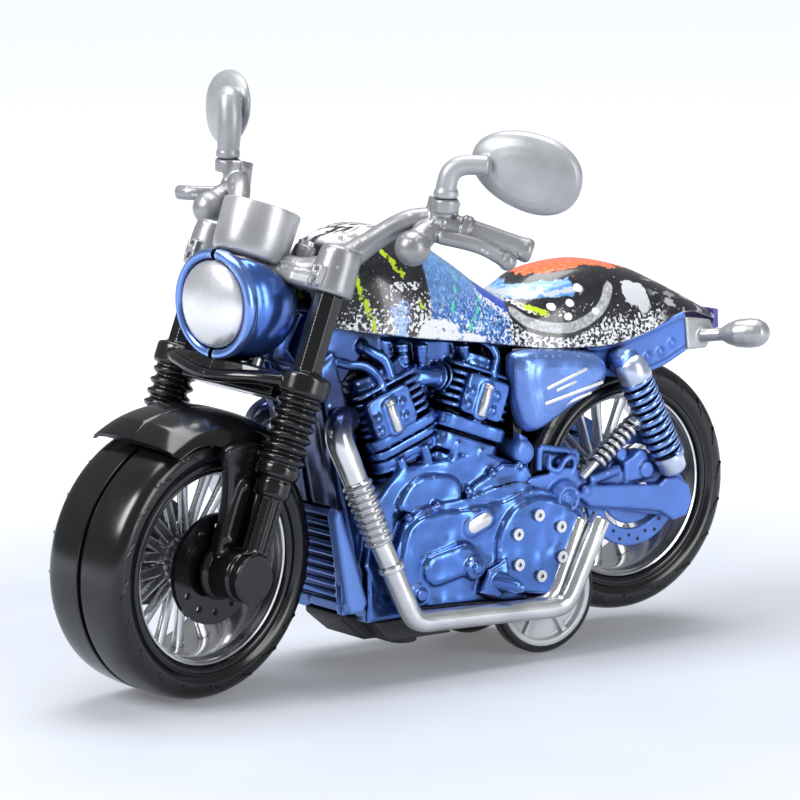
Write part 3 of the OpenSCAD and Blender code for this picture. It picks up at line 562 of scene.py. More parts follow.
def tyre(name, wheel, body, replaces):
    s = Shape(wheel @ SIDE)
    prof = curve(TYRE_HALF, 2)
    s.lathe(prof + [(r, -h) for r, h in prof[-2::-1]] + [(15.15, 0)], 160, closed=True)
    # slanted bars in pairs on both shoulders
    for i in range(TREAD_PAIRS):
        for k, (lag, out) in enumerate(((0, 0), (3.4, 0.3))):
            for sign in (-1, 1):
                spot = (turn("Z", 360 / TREAD_PAIRS * i + lag) @ place(18.75 + out, 0, sign * 8.06)
                        @ turn("Y", sign * 12) @ turn("Z", 62 * sign) @ turn("X", 90))
                s.box((2.2 - 0.4 * k, 0.42, 0.4), spot, 0.12)
    # moulded ring near the rim
    for sign in (-1, 1):
        s.lathe([(16.35, 7.6 * sign), (16.4, 7.82 * sign), (16.62, 7.8 * sign), (16.7, 7.5 * sign)], 120)
    s.build(name, "tyre", body, replaces)


def rim(name, wheel, body, replaces):
    s = Shape(wheel @ SIDE)
    s.lathe(RIM_HALF + [(r, -h) for r, h in RIM_HALF[-2::-1]], 120, closed=True)
    s.lathe(HUB_HALF + [(r, -h) for r, h in HUB_HALF[::-1]], 48, closed=True)
    steps = 8
    for i in range(SPOKE_PAIRS):
        for sign in (-1, 1):
            p, q = (3.6, sign * 1, 0), (14.1, sign * 2.1, 0)
            length = (Vector(q) - Vector(p)).length
            blade = []
            for f in (j / steps for j in range(steps + 1)):
                w = 0.66 - 0.1 * math.sin(f * math.pi) + 0.25 * max(0, f - 0.8) * 5 * 0.3
                # the height of the blade runs along the axle
                h = 1.0 - 0.2 * math.sin(f * math.pi)
                blade.append([(math.copysign(abs(math.cos(a)) ** 0.55, math.cos(a)) * h,
                               math.copysign(abs(math.sin(a)) ** 0.55, math.sin(a)) * w, length * f)
                              for a in around(16)])
            s.grid(blade, turn("Z", 360 * i / SPOKE_PAIRS) @ aim(p, q), wrap_u=True, caps=True, mat=1)
    s.build(name, "chrome spoke", body, replaces)


tyre("tyre_front", FRONT_WHEEL, "front_wheel", ["front_tyre_left", "front_tyre_right"])
tyre("tyre_rear", REAR_WHEEL, "rear_wheel", ["rear_tyre_left", "rear_tyre_right"])
rim("rim_front", FRONT_WHEEL, "front_wheel", ["front_rim"])
rim("rim_rear", REAR_WHEEL, "rear_wheel", ["rear_rim"])
pin = Shape(REAR_WHEEL @ SIDE)
pin.spin([(1, -12.2), (1.2, -11.9), (1.2, 11.9), (1, 12.2)], 28)
pin.build("rear_axle_pin", "steel", "rear_wheel", ["rear_axle"])


# --- metal shell: each station is x, lower edge, crown, half width
STATIONS = [(57.8, 56, 62.4, 5.6), (56.4, 55.4, 67, 7.6), (53.4, 54.8, 69.2, 9.4), (47.6, 53.8, 70.3, 11.2),
            (40, 52.6, 68.4, 11.6), (33, 51.6, 64.2, 11), (27, 50.6, 60, 9.8), (21.6, 49.6, 57.2, 9),
            (17.6, 49, 58.8, 9.6), (13.4, 48.8, 60.8, 10.2), (5, 48.6, 61.6, 10.4), (-3, 50, 60, 10),
            (-9, 51.9, 57.4, 8.8), (-14.4, 52, 54.6, 7.2), (-18, 51, 52.8, 5.8), (-20.6, 50.2, 51.7, 4.8)]
# painted strokes of the print, as (x, z) lines on the side
STROKES = {
    "neon": [[(54.2, 66), (52.8, 62.6), (52.2, 60), (51.2, 56.5), (50.6, 54.6)],
             [(48.4, 67.2), (46.6, 65), (45.6, 63.4), (44.6, 62.4)],
             [(43, 58.6), (42.3, 57.8), (41.6, 56.8)],
             [(12.4, 59.6), (10.6, 59.9), (9.2, 60.5)],
             [(19.4, 55.4), (17.6, 54.6), (16.6, 54.4)]],
    "green": [[(34.9, 64), (34.2, 61.4), (35.6, 58.8), (37.1, 55.6)],
              [(28.2, 59.4), (30.2, 57.2), (33.2, 53.2)]],
    "arc": [[(22.2, 54.9), (20.4, 53.3), (17.9, 52.4), (15.4, 51.9), (12.6, 51.8), (9.6, 52.6),
             (6.9, 54), (5.2, 55.7), (3.9, 57.6)]],
    "deep": [[(28.5, 59.3), (25.4, 57.3), (22.6, 55.4), (20.2, 53.8)]],
}
BULGE = 2 / 2.4            # power that squares the arch of the shell


def station(t, k):
    """Measure k of the shell at station number t, smooth between stations."""
    n = len(STATIONS) - 1
    i = min(int(t), n - 1)
    f = t - i
    a, b, c, d = (STATIONS[max(0, min(n, i + s))][k] for s in (-1, 0, 1, 2))
    return b + 0.5 * f * (c - a + f * (2 * a - 5 * b + 4 * c - d + f * (3 * (b - c) + d - a)))


def polyline_distance(p, line):
    best = 1e9
    for (ax, az), (bx, bz) in zip(line, line[1:]):
        dx, dz = bx - ax, bz - az
        t = max(0, min(1, ((p[0] - ax) * dx + (p[1] - az) * dz) / (dx * dx + dz * dz)))
        best = min(best, math.hypot(p[0] - ax - t * dx, p[1] - az - t * dz))
    return best


def printed_shell():
    """Thin arched sheet with an open underside."""
    rows, m, per_station, lip_height = [], 57, 6, 0.9
    for step in range(per_station * (len(STATIONS) - 1) + 1):
        x, zb, zt, hw = (station(step / per_station, k) for k in range(4))
        wall = min(1, 0.4 * (zt - zb))
        outer, inner = [], []
        for j in range(m):
            a = math.pi * j / (m - 1)
            c, up = math.cos(a), max(math.sin(a), 0)
            y = hw * math.copysign(abs(c) ** BULGE, c)
            z = zb + (zt - zb) * up ** BULGE
            lip = max(0, 1 - (z - zb) / lip_height) ** 2 * 0.28
            outer.append((x, y + math.copysign(lip, c), z))
            inner.append((x, y * (hw - wall) / hw, zb + (z - zb) * (zt - zb - wall) / (zt - zb)))
        feet = [(x, y, zb - 0.18) for y in (-hw - 0.1, -hw + 0.6, hw - 0.6, hw + 0.1)]
        rows.append(outer + feet[:2] + inner[::-1] + feet[2:])
    s = Shape(BIKE)
    s.grid(rows, wrap_u=True)
    # close both ends between the outer and the inner arch
    for first, order in ((0, 1), ((len(rows) - 1) * len(rows[0]), -1)):
        for j in range(m - 1):
            s.f.append([first + q for q in (j, j + 1, 2 * m - j, 2 * m + 1 - j)][::order])
            s.k.append(0)
    ob = s.build("printed_shell", "print", "chassis", ["tank_seat_shell"], 50)
    pts = [BIKE.inverted() @ v.co for v in ob.data.vertices]
    for key, lines in STROKES.items():
        att = ob.data.attributes.new(key, "FLOAT", "POINT")
        att.data.foreach_set("value", [min(polyline_distance((p.x, p.z), ln) for ln in lines) for p in pts])


def print_material():
    """Brushwork and splatter over black, laid out on the side view and the same on both sides."""
    m = Mat("splatter_print")
    p = m.bike()
    x, _, z = m.xyz(p)
    sway = m.noise(0.45, 3, vec=p)
    ragged = m.noise(1.6, 3, vec=p)
    jitter = m.plus(m.times(m.minus(sway, 0.5), 3.2), m.times(m.minus(ragged, 0.5), 1.3))
    xj, zj = m.plus(x, jitter), m.plus(z, jitter)

    def spot(cx, cz, rx, rz, k=0):
        """1 inside a rough-edged ellipse on the side."""
        dx = m.math("DIVIDE", m.minus(x, cx), rx)
        dz = m.math("DIVIDE", m.minus(z, cz), rz)
        r = m.math("SQRT", m.plus(m.times(dx, dx), m.times(dz, dz)))
        r = m.plus(r, m.times(jitter, 0.14 + k))
        return m.ramp(r, 1.06, 0.98)

    def stroke(key, half, rag):
        """1 within half of a painted stroke, with ragged edges."""
        a = m.node("ShaderNodeAttribute", attribute_name=key)
        d = m.plus(a.outputs["Fac"], m.times(m.minus(ragged, 0.5), rag * 4))
        return m.ramp(d, half + 0.1, half - 0.1)

    def brushed(angle, stretch):
        """Noise drawn out along a slanted direction on the side."""
        rot = m.node("ShaderNodeVectorRotate", rotation_type="Y_AXIS")
        m.put(rot.inputs["Vector"], p)
        rot.inputs["Angle"].default_value = math.radians(angle)
        return m.noise(1, 2, vec=m.vec("MULTIPLY", rot.outputs[0], stretch))

    black = (0.01, 0.01, 0.013)
    white = (0.83, 0.84, 0.86)
    col = m.mix(m.ramp(m.noise(0.3, 3, vec=p), 0.4, 0.7), black, (0.02, 0.02, 0.027))

    def paint(mask, colour):
        """Cover what is there wherever the mask is 1."""
        nonlocal col
        col = m.mix(mask, col, colour)

    # splatter, dense low on the tank and along the seat's lower edge
    drops = m.noise(1.75, 3, 0.62, vec=p)
    tank = m.ramp(x, 23, 24)
    low_tank = m.minus(61.5, m.plus(z, m.times(m.minus(x, 50), 0.15)))
    on_tank = m.ramp(low_tank, -1.5, 7.5, -0.14, 0.024)
    on_seat = m.ramp(m.minus(57, z), 0, 6.5, -0.17, 0.035)
    density = m.plus(m.times(on_tank, tank), m.times(on_seat, m.minus(1, tank)))
    splat = m.ramp(m.plus(drops, density), 0.522, 0.542)
    splat = m.times(splat, m.ramp(x, -8.5, -4.5), m.ramp(low_tank, -5, -1))
    paint(splat, white)
    # pale brushwork on the crown of the tank
    brush = m.noise(1, 3, 0.55, vec=m.vec("MULTIPLY", p, (0.22, 0.55, 0.6)), distort=0.6)
    crest = m.times(m.ramp(z, 67.4, 68.6), m.ramp(x, 42.5, 44.5))
    paint(m.times(crest, m.ramp(brush, 0.44, 0.48)), (0.74, 0.75, 0.77))
    # blue zone behind the middle of the tank
    blue_zone = m.times(m.ramp(m.plus(x, m.times(jitter, 0.25)), 41, 40.5), m.ramp(xj, 23.2, 24.4))
    weave1 = brushed(38, (4.2, 1.2, 0.9))
    weave2 = brushed(-28, (3.6, 1.2, 0.8))
    depth = m.ramp(m.plus(z, m.times(x, 0.12)), 58, 66)
    blue = m.mix(m.ramp(m.noise(0.22, 2, vec=p), 0.35, 0.62), (0.018, 0.085, 0.36), (0.045, 0.19, 0.56))
    blue = m.mix(m.ramp(weave1, 0.54, 0.6), blue, (0.2, 0.43, 0.8))
    blue = m.mix(m.ramp(weave2, 0.55, 0.6), blue, (0.01, 0.035, 0.2))
    blue = m.mix(m.times(m.ramp(drops, 0.54, 0.57), m.ramp(z, 61, 54)), blue, (0.72, 0.82, 0.92))
    blue = m.mix(m.times(depth, 0.35), blue, (0.25, 0.45, 0.72))
    paint(blue_zone, blue)
    paint(stroke("green", 0.34, 0.25), (0.1, 0.62, 0.38))
    # light blue smear low on the front
    smear = m.times(spot(46.4, 56.2, 1.7, 3.2, 0.1), m.ramp(ragged, 0.42, 0.5))
    paint(m.times(smear, 0.85), (0.16, 0.36, 0.78))
    # white blots with black flecks
    blot = m.most(spot(39.6, 53.2, 3.9, 2.3), spot(36.4, 51.6, 6, 1.3))
    blot = m.most(blot, m.times(spot(45.2, 61, 2.6, 0.75, 0.25), m.ramp(ragged, 0.46, 0.52)))
    flecks = m.ramp(m.noise(0.9, 3, 0.6, vec=p), 0.6, 0.63)
    paint(m.times(blot, m.minus(1, flecks)), white)
    # deep blue sweep with a white fringe behind the tank
    fringe = m.times(stroke("deep", 2.1, 0.6), m.ramp(ragged, 0.47, 0.52), m.ramp(z, 60.5, 58))
    paint(fringe, white)
    paint(stroke("deep", 1.05, 0.3), (0.012, 0.06, 0.5))
    paint(stroke("neon", 0.48, 0.3), (0.5, 0.68, 0.02))
    # seat: orange crown, light blue patch, grey and black bands
    seat = m.ramp(x, 21.6, 21.2)
    patch = m.times(seat, m.ramp(xj, 10.2, 10.8), m.ramp(m.plus(z, m.times(jitter, 0.3)), 56.5, 56.8))
    bands = m.noise(0.8, 2, vec=m.vec("MULTIPLY", p, (0.25, 1, 2.2)))
    paint(patch, m.mix(m.ramp(bands, 0.42, 0.6), (0.1, 0.28, 0.62), (0.3, 0.5, 0.78)))
    paint(m.times(seat, m.ramp(x, 8.5, 10), m.ramp(zj, 56.9, 57.1), m.ramp(zj, 57.9, 57.7)), (0.5, 0.54, 0.6))
    crown = m.minus(z, m.times(m.math("ABSOLUTE", m.minus(x, 7)), -0.11))
    top = m.plus(crown, m.times(jitter, 0.42))
    paint(m.times(seat, m.ramp(top, 59.7, 59.9), m.ramp(x, -6, -4)), black)
    orange = m.mix(m.ramp(ragged, 0.4, 0.7), (0.8, 0.13, 0.035), (0.9, 0.24, 0.1))
    paint(m.times(seat, m.ramp(top, 60.75, 60.9), m.ramp(xj, -3.6, -3)), orange)
    # grey swoosh with dots around the seat's side
    grey = m.mix(m.ramp(ragged, 0.35, 0.65), (0.3, 0.31, 0.33), (0.52, 0.53, 0.55))
    paint(m.times(stroke("arc", 1.5, 0.12), m.ramp(x, 24, 23)), (0.012, 0.012, 0.015))
    paint(stroke("arc", 0.82, 0.06), grey)
    for cx, cz in ((12.9, 53.6), (7.6, 54), (15.6, 55.2), (12.2, 55.6), (9.8, 57.8)):
        paint(spot(cx, cz, 0.75, 0.6, 0.1), (0.8, 0.8, 0.82))
    big = m.most(spot(-0.6, 56.2, 1.9, 2, 0.25), spot(-2.4, 55, 1.4, 2.6, 0.25))
    paint(big, (0.62, 0.63, 0.66))
    # tail: black with long pale streaks that are painted highlights, violet at the tip
    tail_highlight_streaks = m.noise(1, 2, 0.5, vec=m.vec("MULTIPLY", p, (0.16, 0.9, 0.55)))
    tailzone = m.ramp(x, -3.5, -6.5)
    paint(m.times(tailzone, m.ramp(tail_highlight_streaks, 0.56, 0.62)), (0.42, 0.43, 0.46))
    paint(m.times(m.ramp(x, -13.5, -19), m.ramp(z, 51.5, 53.5)), (0.1, 0.07, 0.33))
    # painted highlight: paler colour on the convex edge along the rim and the lip
    paint(m.times(m.edge(0.53, 0.6), 0.35), (0.7, 0.71, 0.74))
    relief = m.plus(m.times(m.noise(0.5, 2), 0.5), m.times(m.noise(7, 2), 0.3))
    return m.out(Base_Color=col, Roughness=m.ramp(ragged, 0.3, 0.7, 0.2, 0.32), Coat_Weight=0.45,
                 Coat_Roughness=0.08, Normal=m.bump(relief, 0.02, 0.15))


MATS["print"] = print_material()
printed_shell()


# --- engine mouldings
def rrect(x0, y0, x1, y1, r, n=5):
    """Rectangle with rounded corners."""
    corners = ((x1 - r, y1 - r, 0), (x0 + r, y1 - r, 90), (x0 + r, y0 + r, 180), (x1 - r, y0 + r, 270))
    return [polar(r, math.radians(a0 + 90 * k / n), cx, cy) for cx, cy, a0 in corners for k in range(n + 1)]


def capsule(x0, z0, x1, z1, r, n=8):
    """Outline of a slot shape."""
    a = math.atan2(z1 - z0, x1 - x0)
    return ([polar(r, a - math.pi / 2 + math.pi * k / n, x1, z1) for k in range(n + 1)]
            + [polar(r, a + math.pi / 2 + math.pi * k / n, x0, z0) for k in range(n + 1)])


POTS = {"front": place(38.2, 0, 20) @ turn("Y", 20), "rear": place(38.2, 0, 20) @ turn("Y", -20)}
RIB_X = {"front": 1.9, "rear": 0.3}
BANDS = {"front": ((18.7, 20.4, 10.7, 6.9), (16.9, 18.3, 10.2, 6.5), (15.2, 16.5, 9.7, 6.1)),
        "rear": ((17.5, 19.8, 10.7, 7), (14.2, 17, 10.3, 6.6), (11.4, 13.6, 9.8, 6.2))}


def wheel_arc(a0, a1, n=12):
    """Outline round the drive wheel, from a0 to a1 degrees."""
    return [polar(10.9, math.radians(a0 + (a1 - a0) * k / n), 18.8, 9.8) for k in range(n + 1)]


def engine(side):
    """Crankcase, two finned cylinders, covers, frame tubes, intake and hoses."""
    s = half(side)
    s.prism([(41, 9.7), (50, 11), (53, 18), (50.6, 28), (46, 32.6), (41, 33)], 0, 10.2, 0.6)
    s.prism([(22, 30.6), (46, 30.6), (46, 32.6), (30, 33.6), (23, 31)], 0, 9.8, 0.5)
    s.prism([(30, 11), (50, 11), (53, 18), (50.6, 28), (46, 32.6), (30, 33.6), (23, 31),
            (21.5, 27.6)] + wheel_arc(76, 22), 6.5, 10.4, 0.5)
    s.prism([(21.5, 27.6), (12, 27.4), (9.2, 16.4)] + wheel_arc(150, 76), 8.7, 10.4, 0.3)
    for name, m in POTS.items():
        s.deck(rrect(-5, -1, 5, 8.6, 2.5), 8, 30, m)
        for i in range(5):
            s.deck(rrect(-6.3, -1, 6.3, 9.4, 2.6), 9.2 + i * 1.3, 9.85 + i * 1.3, m, 0.2)
        for z0, z1, y1, hx in BANDS[name]:
            s.deck(rrect(-hx, -1, hx, y1, 2.8), z0, z1, m, 0.3)
        for i in range(6):
            s.deck(rrect(-6.8, -1, 6.8, 9.9, 2.6), 20.9 + i * 1.28, 21.65 + i * 1.28, m, 0.22)
        s.deck(rrect(-5.6, -1, 5.6, 9, 3.2), 27.6, 29.3, m, 0.9)
        rx = RIB_X[name]
        s.prism(rrect(rx - 4.4, 20.5, rx + 3.8, 26.9, 1), 8, 10.95, 0.3, m)
        s.prism(rrect(rx - 1.5, 20, rx + 1.5, 26.2, 1.2), 10, 11.25, 0.25, m)
        for bx, bz in ((2.7, 24), (2.8, 21.8), (-2.2, 24.4), (-2.1, 22.1)):
            s.button(rx + bx, bz, 10.95, 0.52, 0.5, local=m)
        for x0, x1 in ((-1.8, -2.4), (2, 2.4)):
            s.tube([(x0, 9.2, 6), (x1, 9.6, 16)], 0.9, local=m)
    # covers
    s.prism(rounded([(47.2, 26.6), (45.7, 29.2), (42.6, 31), (38, 30.8), (35.2, 29.2), (36, 26), (44, 25)]),
            8, 11.3, 0.6)
    s.prism([(35, 26), (33, 28.6), (27, 31.6), (22.3, 30.8), (21.5, 28.9), (24, 26.5)], 8, 11.5, 0.5)
    cover = [(48.2, 20.2), (46.6, 24.2), (43.6, 26), (40, 26.6), (34, 26.9), (29.5, 28), (24.6, 28.6),
            (22, 27.8), (23, 9.4), (30.5, 9.3), (38, 9.8), (46, 10.2), (48.6, 15.2)]
    s.prism(cover, 11.95, 12.15, 0.1)
    s.prism([p for p in cover if p[0] > 28], 8, 12.1, 0.2)
    s.prism(rounded([(47.6, 18.5), (46.2, 23.4), (42, 25.3), (35, 25.2), (28, 25.8), (22, 27.2), (16, 25.2),
            (13, 20.6), (13.4, 14.6), (17, 10.2), (24, 9.2), (31, 9.9), (38, 10.4), (45, 10.9),
            (47.4, 14.2)]), 11.95, 12.75, 0.45)
    round_part = [polar(7.9, math.radians(a), 22.2, 18.1) for a in range(-70, 110, 12)]
    s.prism(round_part + [(16, 24.6), (12.4, 21.2), (15.4, 11.6), (19, 9.4)], 11.95, 13.55, 0.7)
    for x, z in ((45.9, 25), (40.4, 26.4), (34, 27.9), (29.3, 30.3), (24.1, 30.9), (48.4, 18), (48.2, 12)):
        s.button(x, z, 11.4 if z > 26.6 else 12.1, 0.5, 0.6)
    s.prism(capsule(41.4, 16.6, 36.4, 17.6, 2.7), 12, 13.9, 0.9)
    s.boss(34.7, 16.2, 12, 14.5, 1.9, 0.5)
    s.boss(34.7, 16.2, 12, 15.1, 1, 0.3, 6)
    s.prism([(33.8, 12), (30.2, 10.6), (27.8, 12.6), (28.6, 16.8), (32.4, 15.4)], 12.4, 14.3, 0.4)
    s.tube([(30.8, 13.2, 13.6), (28.8, 14.8, 12.9), (27.4, 16, 12.4)], lambda t: 1.6 - 0.5 * t)
    s.tube([(27.8, 15.8, 12.5), (27, 16.4, 12.2)], 0.7)
    s.boss(44.3, 12.8, 10.8, 12.9, 2.2, 0.5)
    s.boss(44.3, 12.8, 10.8, 13.4, 1, 0.3)
    s.prism(capsule(34.4, 22.4, 31.6, 23.5, 1.7), 12, 12.95, 0.25)
    # frame and shrouds
    s.prism([(58.4, 47), (61.6, 52), (58.6, 57.6), (54.6, 58.4), (26, 54), (20, 51.6), (20, 48), (30, 50),
            (50, 50.4), (54, 46)], 0, 6.3, 0.4)
    s.prism([(31, 46.8), (46, 46.8), (47, 52.6), (30, 51)], 0, 6.6, 0.4)
    s.spin([(3, 32.9), (3, 43.5)], 40, RAKED @ place(-3, 0, 0))
    s.box((7, 2.8, 8), RAKED @ place(-5.9, 1.4, 37.2))
    s.prism([(50, 10.7), (53.4, 10.7), (56, 26), (58.4, 40), (60.6, 49.6), (57, 51.6), (53.4, 40),
            (50.6, 26)], 5.2, 8.9, 0.9)
    s.prism([(50, 26.6), (56.2, 27), (58.4, 40.4), (55, 42), (52, 34)], 0, 7.9, 0.8)
    s.prism([(42, 9), (52.6, 8.8), (52.4, 24), (48, 24)], 6, 10.3, 0.6)
    # intake, hoses and leads
    s.tube([(44, 3.4, 44.1), (34, 3.4, 44.1)], 3.1)
    s.tube(spline([(43.6, 6.6, 44.6), (42.2, 7.6, 46.2), (39, 7.8, 46.2), (35.4, 7, 45.6)], 5), 1.65)
    for x in (37.4, 36.4):
        s.spin([(2.3, -0.25), (2.3, 0.25)], 28, aim((x, 7.6, 46), (x - 1, 7.3, 45.8)))
    s.tube(spline([(57, 6.2, 50.6), (54.6, 8, 49.4), (51.8, 8.9, 49), (49.4, 9.2, 47.2), (48.6, 9.2, 45)], 6),
            0.75)
    s.tube(spline([(51, 6, 52), (49.4, 7.6, 50.8), (47.6, 8.4, 49.4), (46.6, 8.6, 46.6)], 5), 0.95)
    s.tube(spline([(29, 6, 51), (27.4, 8.4, 50), (26.6, 8.9, 48.2), (27.4, 9.2, 46.4), (27.6, 9.4, 44.6)], 5),
            0.7)
    for x, dx, top in ((44.2, -0.8, 52.4), (40.2, 0, 51.9), (32.4, -0.2, 50.8)):
        s.tube([(x, 7.6, top), (x + dx, 7.9, 48)], 0.62)
        for k in range(4):
            f = 0.2 + 0.2 * k
            c = (x + dx * f, 7.7, top + (48 - top) * f)
            s.spin([(1.15 - 0.08 * k, -0.22), (1.15 - 0.08 * k, 0.22)], 20, place(*c))
    s.fuse("engine_" + side, "engine", "chassis", ["engine_half_" + side])


def trim(side):
    """Silver ribs on the rocker covers and a bar on the clutch cover."""
    s = half(side)
    for name, m in POTS.items():
        rx = RIB_X[name]
        s.tube([(rx, 11.1, 20.6), (rx, 11.15, 23), (rx, 11.1, 25.2)], 0.78, local=m)
        s.tube([(rx, 11.1, 25), (rx, 11.1, 25.9)], 0.95, local=m)
    s.prism(capsule(34.2, 22.5, 31.8, 23.4, 1.15), 12.4, 13.15, 0.3)
    return s


engine("left")
engine("right")
both = trim("left")
both.join(trim("right"))
both.build("engine_trim_silver", "silver", "chassis", ["engine_trim"])


# --- rear frame, arm and brake
def rear_end(side):
    """Seat rail, swing arm, brake plate, inner guard, shock absorber and damper."""
    s = half(side)
    s.prism([(12, 44.6), (9.4, 48.2), (4, 48.3), (-3, 50), (-11.2, 52.4), (-11.6, 46.2), (-6, 43.6),
            (2, 42.6)], 7.6, 9.1, 0.3)
    for line in ([(9, 48), (4, 48), (-3, 49.6), (-11, 51.9)],
                 [(6, 44.6), (1, 43.3), (-5.6, 44.1), (-11.2, 46.4)]):
        s.tube(spline([(x, 9, z) for x, z in line], 5), 0.55)
    for x, z in ((-3.4, 45.6), (-6, 46.2), (-8.4, 47.4)):
        s.button(x, z, 9.1, 0.55, 0.4)
    s.prism([(-8, 46), (-11, 52), (-11.5, 46.2)], 0, 8.4, 0.2)
    # swing arm
    s.prism(rounded([(22.8, 28.2), (18, 29), (14.6, 29.6), (11, 28.6), (4, 28), (-2, 28.7), (-6.4, 27.6),
            (-9.6, 24.6), (-9.4, 20.8), (-4, 19.9), (4, 21.6), (10, 22.4), (18, 25)], 3), 10.2, 11.4, 0.3)
    s.prism([(12.2, 26.6), (4, 25.9), (-3, 25.2), (-4.4, 26.2), (-7, 26), (-9.2, 24.6), (-9.9, 21.8),
            (-8.6, 19.4), (-6, 18.9), (-3.4, 20.7), (4, 22), (11, 23), (13, 24.8)], 11, 12.7, 0.35)
    s.tube([(10.8, 11.9, 27.2), (4.5, 11.7, 28.4)], 0.8)
    s.prism([(3.4, 26), (3.6, 29.4), (1.8, 30.2), (0.4, 31.2), (-1.2, 30.9), (-1.7, 29.2), (-2.4, 26.4)], 9.6,
            12, 0.35)
    s.boss(-0.7, 27.8, 11, 12.6, 1.35, 0.3)
    s.boss(3.4, 30.6, 9.4, 11.2, 1.1, 0.3)
    s.boss(15.8, 24.9, 8.9, 13, 2.9, 0.9)
    s.washer(15.8, 24.9, 12.6, 13.5, 1.5, 2.2, 40)
    s.boss(15.8, 24.9, 12, 13.3, 0.9, 0.3)
    s.boss(11.6, 25.6, 10, 12.9, 0.7, 0.2)
    # starter, tray and hook
    s.boss(22.8, 32.8, 6, 11.4, 2.1, 0.9)
    s.prism([(19.2, 33.4), (11.6, 31.8), (11.8, 28.6), (19.4, 29.2)], 8.9, 9.5, 0.15)
    for p, q in (((19.2, 33.2), (11.8, 31.6)), ((11.8, 31.6), (11.9, 29.4)), ((19.2, 33.2), (19.3, 29.4))):
        s.tube([(p[0], 10, p[1]), (q[0], 10, q[1])], 0.6)
    s.tube(spline([(17.6, 10.6, 31.9), (18, 11, 30), (16.4, 11.2, 29.3), (15, 11.2, 30.8), (13.6, 11.2, 31.2),
            (12.9, 11, 30), (13.6, 11, 28)], 6), 0.5)
    s.boss(15.4, 30.3, 9, 10.8, 0.8)
    s.prism([(23.4, 28.1), (21.7, 28.1), (21.7, 35), (23.4, 36)], 8.6, 10.6, 0.3)
    # drilled brake plate
    s.boss(0, REAR_Z, 8.7, 9.3, 6.2, 0.2)
    s.washer(0, REAR_Z, 8.7, 9.5, 6.9, 9.8)
    for a in (30, 150, 210, 330):
        c, d = polar(1, math.radians(a))
        s.tube([(r * c, 9.1, REAR_Z + r * d) for r in (5.6, 7.4)], 0.45)
    s.fuse("rear_frame_" + side, "arm", "chassis", ["rear_frame_" + side])
    # black discs on the plate: painted shade for the insides of the drilled holes
    h = Shape(s.m)
    for i, a in enumerate(around(30)):
        x, z = polar(8.0 if i % 2 else 8.8, a, 0, REAR_Z)
        h.spin([(0.3, 9.3), (0.3, 9.56)], 12, place(x, 0, z) @ SIDE)
    h.build("brake_hole_shade_" + side, "black", "chassis")
    g = Shape(s.m)
    rows = []
    section = ((21.8, 0), (21.8, 7.9), (22.1, 8.4), (22.6, 8.2), (22.8, 6), (22.9, 0))
    for i in range(40):
        c, d = polar(1, math.radians(66 + 36 * i / 39))
        rows.append([(r * c, y, REAR_Z + r * d) for r, y in section])
    g.grid(rows, wrap_u=True, caps=True)
    g.prism([(21.6, 31.6), (23.3, 33.4), (23.3, 49.2), (10, 48.6), (9.4, 46.5), (21.5, 46.8)], 0, 8.7, 0.2)
    g.build("rear_guard_" + side, "black", "chassis")
    # shock absorber
    k = Shape(s.m)
    top, low = (1.6, 12.6, 42.8), (-4.3, 13.2, 30)
    k.tube([top, low], 1.35)
    k.coil((1.9, 12.5, 43.2), (-4.2, 13.2, 30.2), 2.35, 0.52, 10.5)
    k.boss(3, 45.8, 9, 13.4, 2.1, 0.6)
    k.build("shock_spring_" + side, "blue", "chassis", ["shock_" + side])
    c = Shape(s.m)
    m = aim(top, low)
    c.lathe([(0, -4.2), (1.5, -4), (2.3, -3.2), (2.6, -1.8), (2.75, -0.2), (2.5, 0.2), (0, 0.3)], 36, m)
    m2 = aim(low, top)
    c.lathe([(0, -3.4), (1.6, -3.2), (2.2, -2.6), (2.4, -0.6), (2.65, -0.5), (2.65, 0.2), (0, 0.3)], 36, m2)
    c.build("shock_caps_" + side, "cap", "chassis")
    # small damper
    d = Shape(s.m)
    d.coil((1.8, 11.8, 35.4), (9.4, 11.8, 29.9), 1.25, 0.4, 7.5)
    d.tube([(-0.6, 11.8, 37), (2, 11.8, 35.2), (9.4, 11.8, 29.9), (12.2, 11.8, 27.8)], 0.72)
    d.lathe([(0, -1.6), (1.1, -1.4), (1.5, -0.6), (1.5, 0.1), (0, 0.2)], 28, aim((1.6, 11.8, 35.5),
            (9.4, 11.8, 29.9)))
    d.build("damper_spring_" + side, "silver", "chassis", ["damper_" + side])


rear_end("left")
rear_end("right")


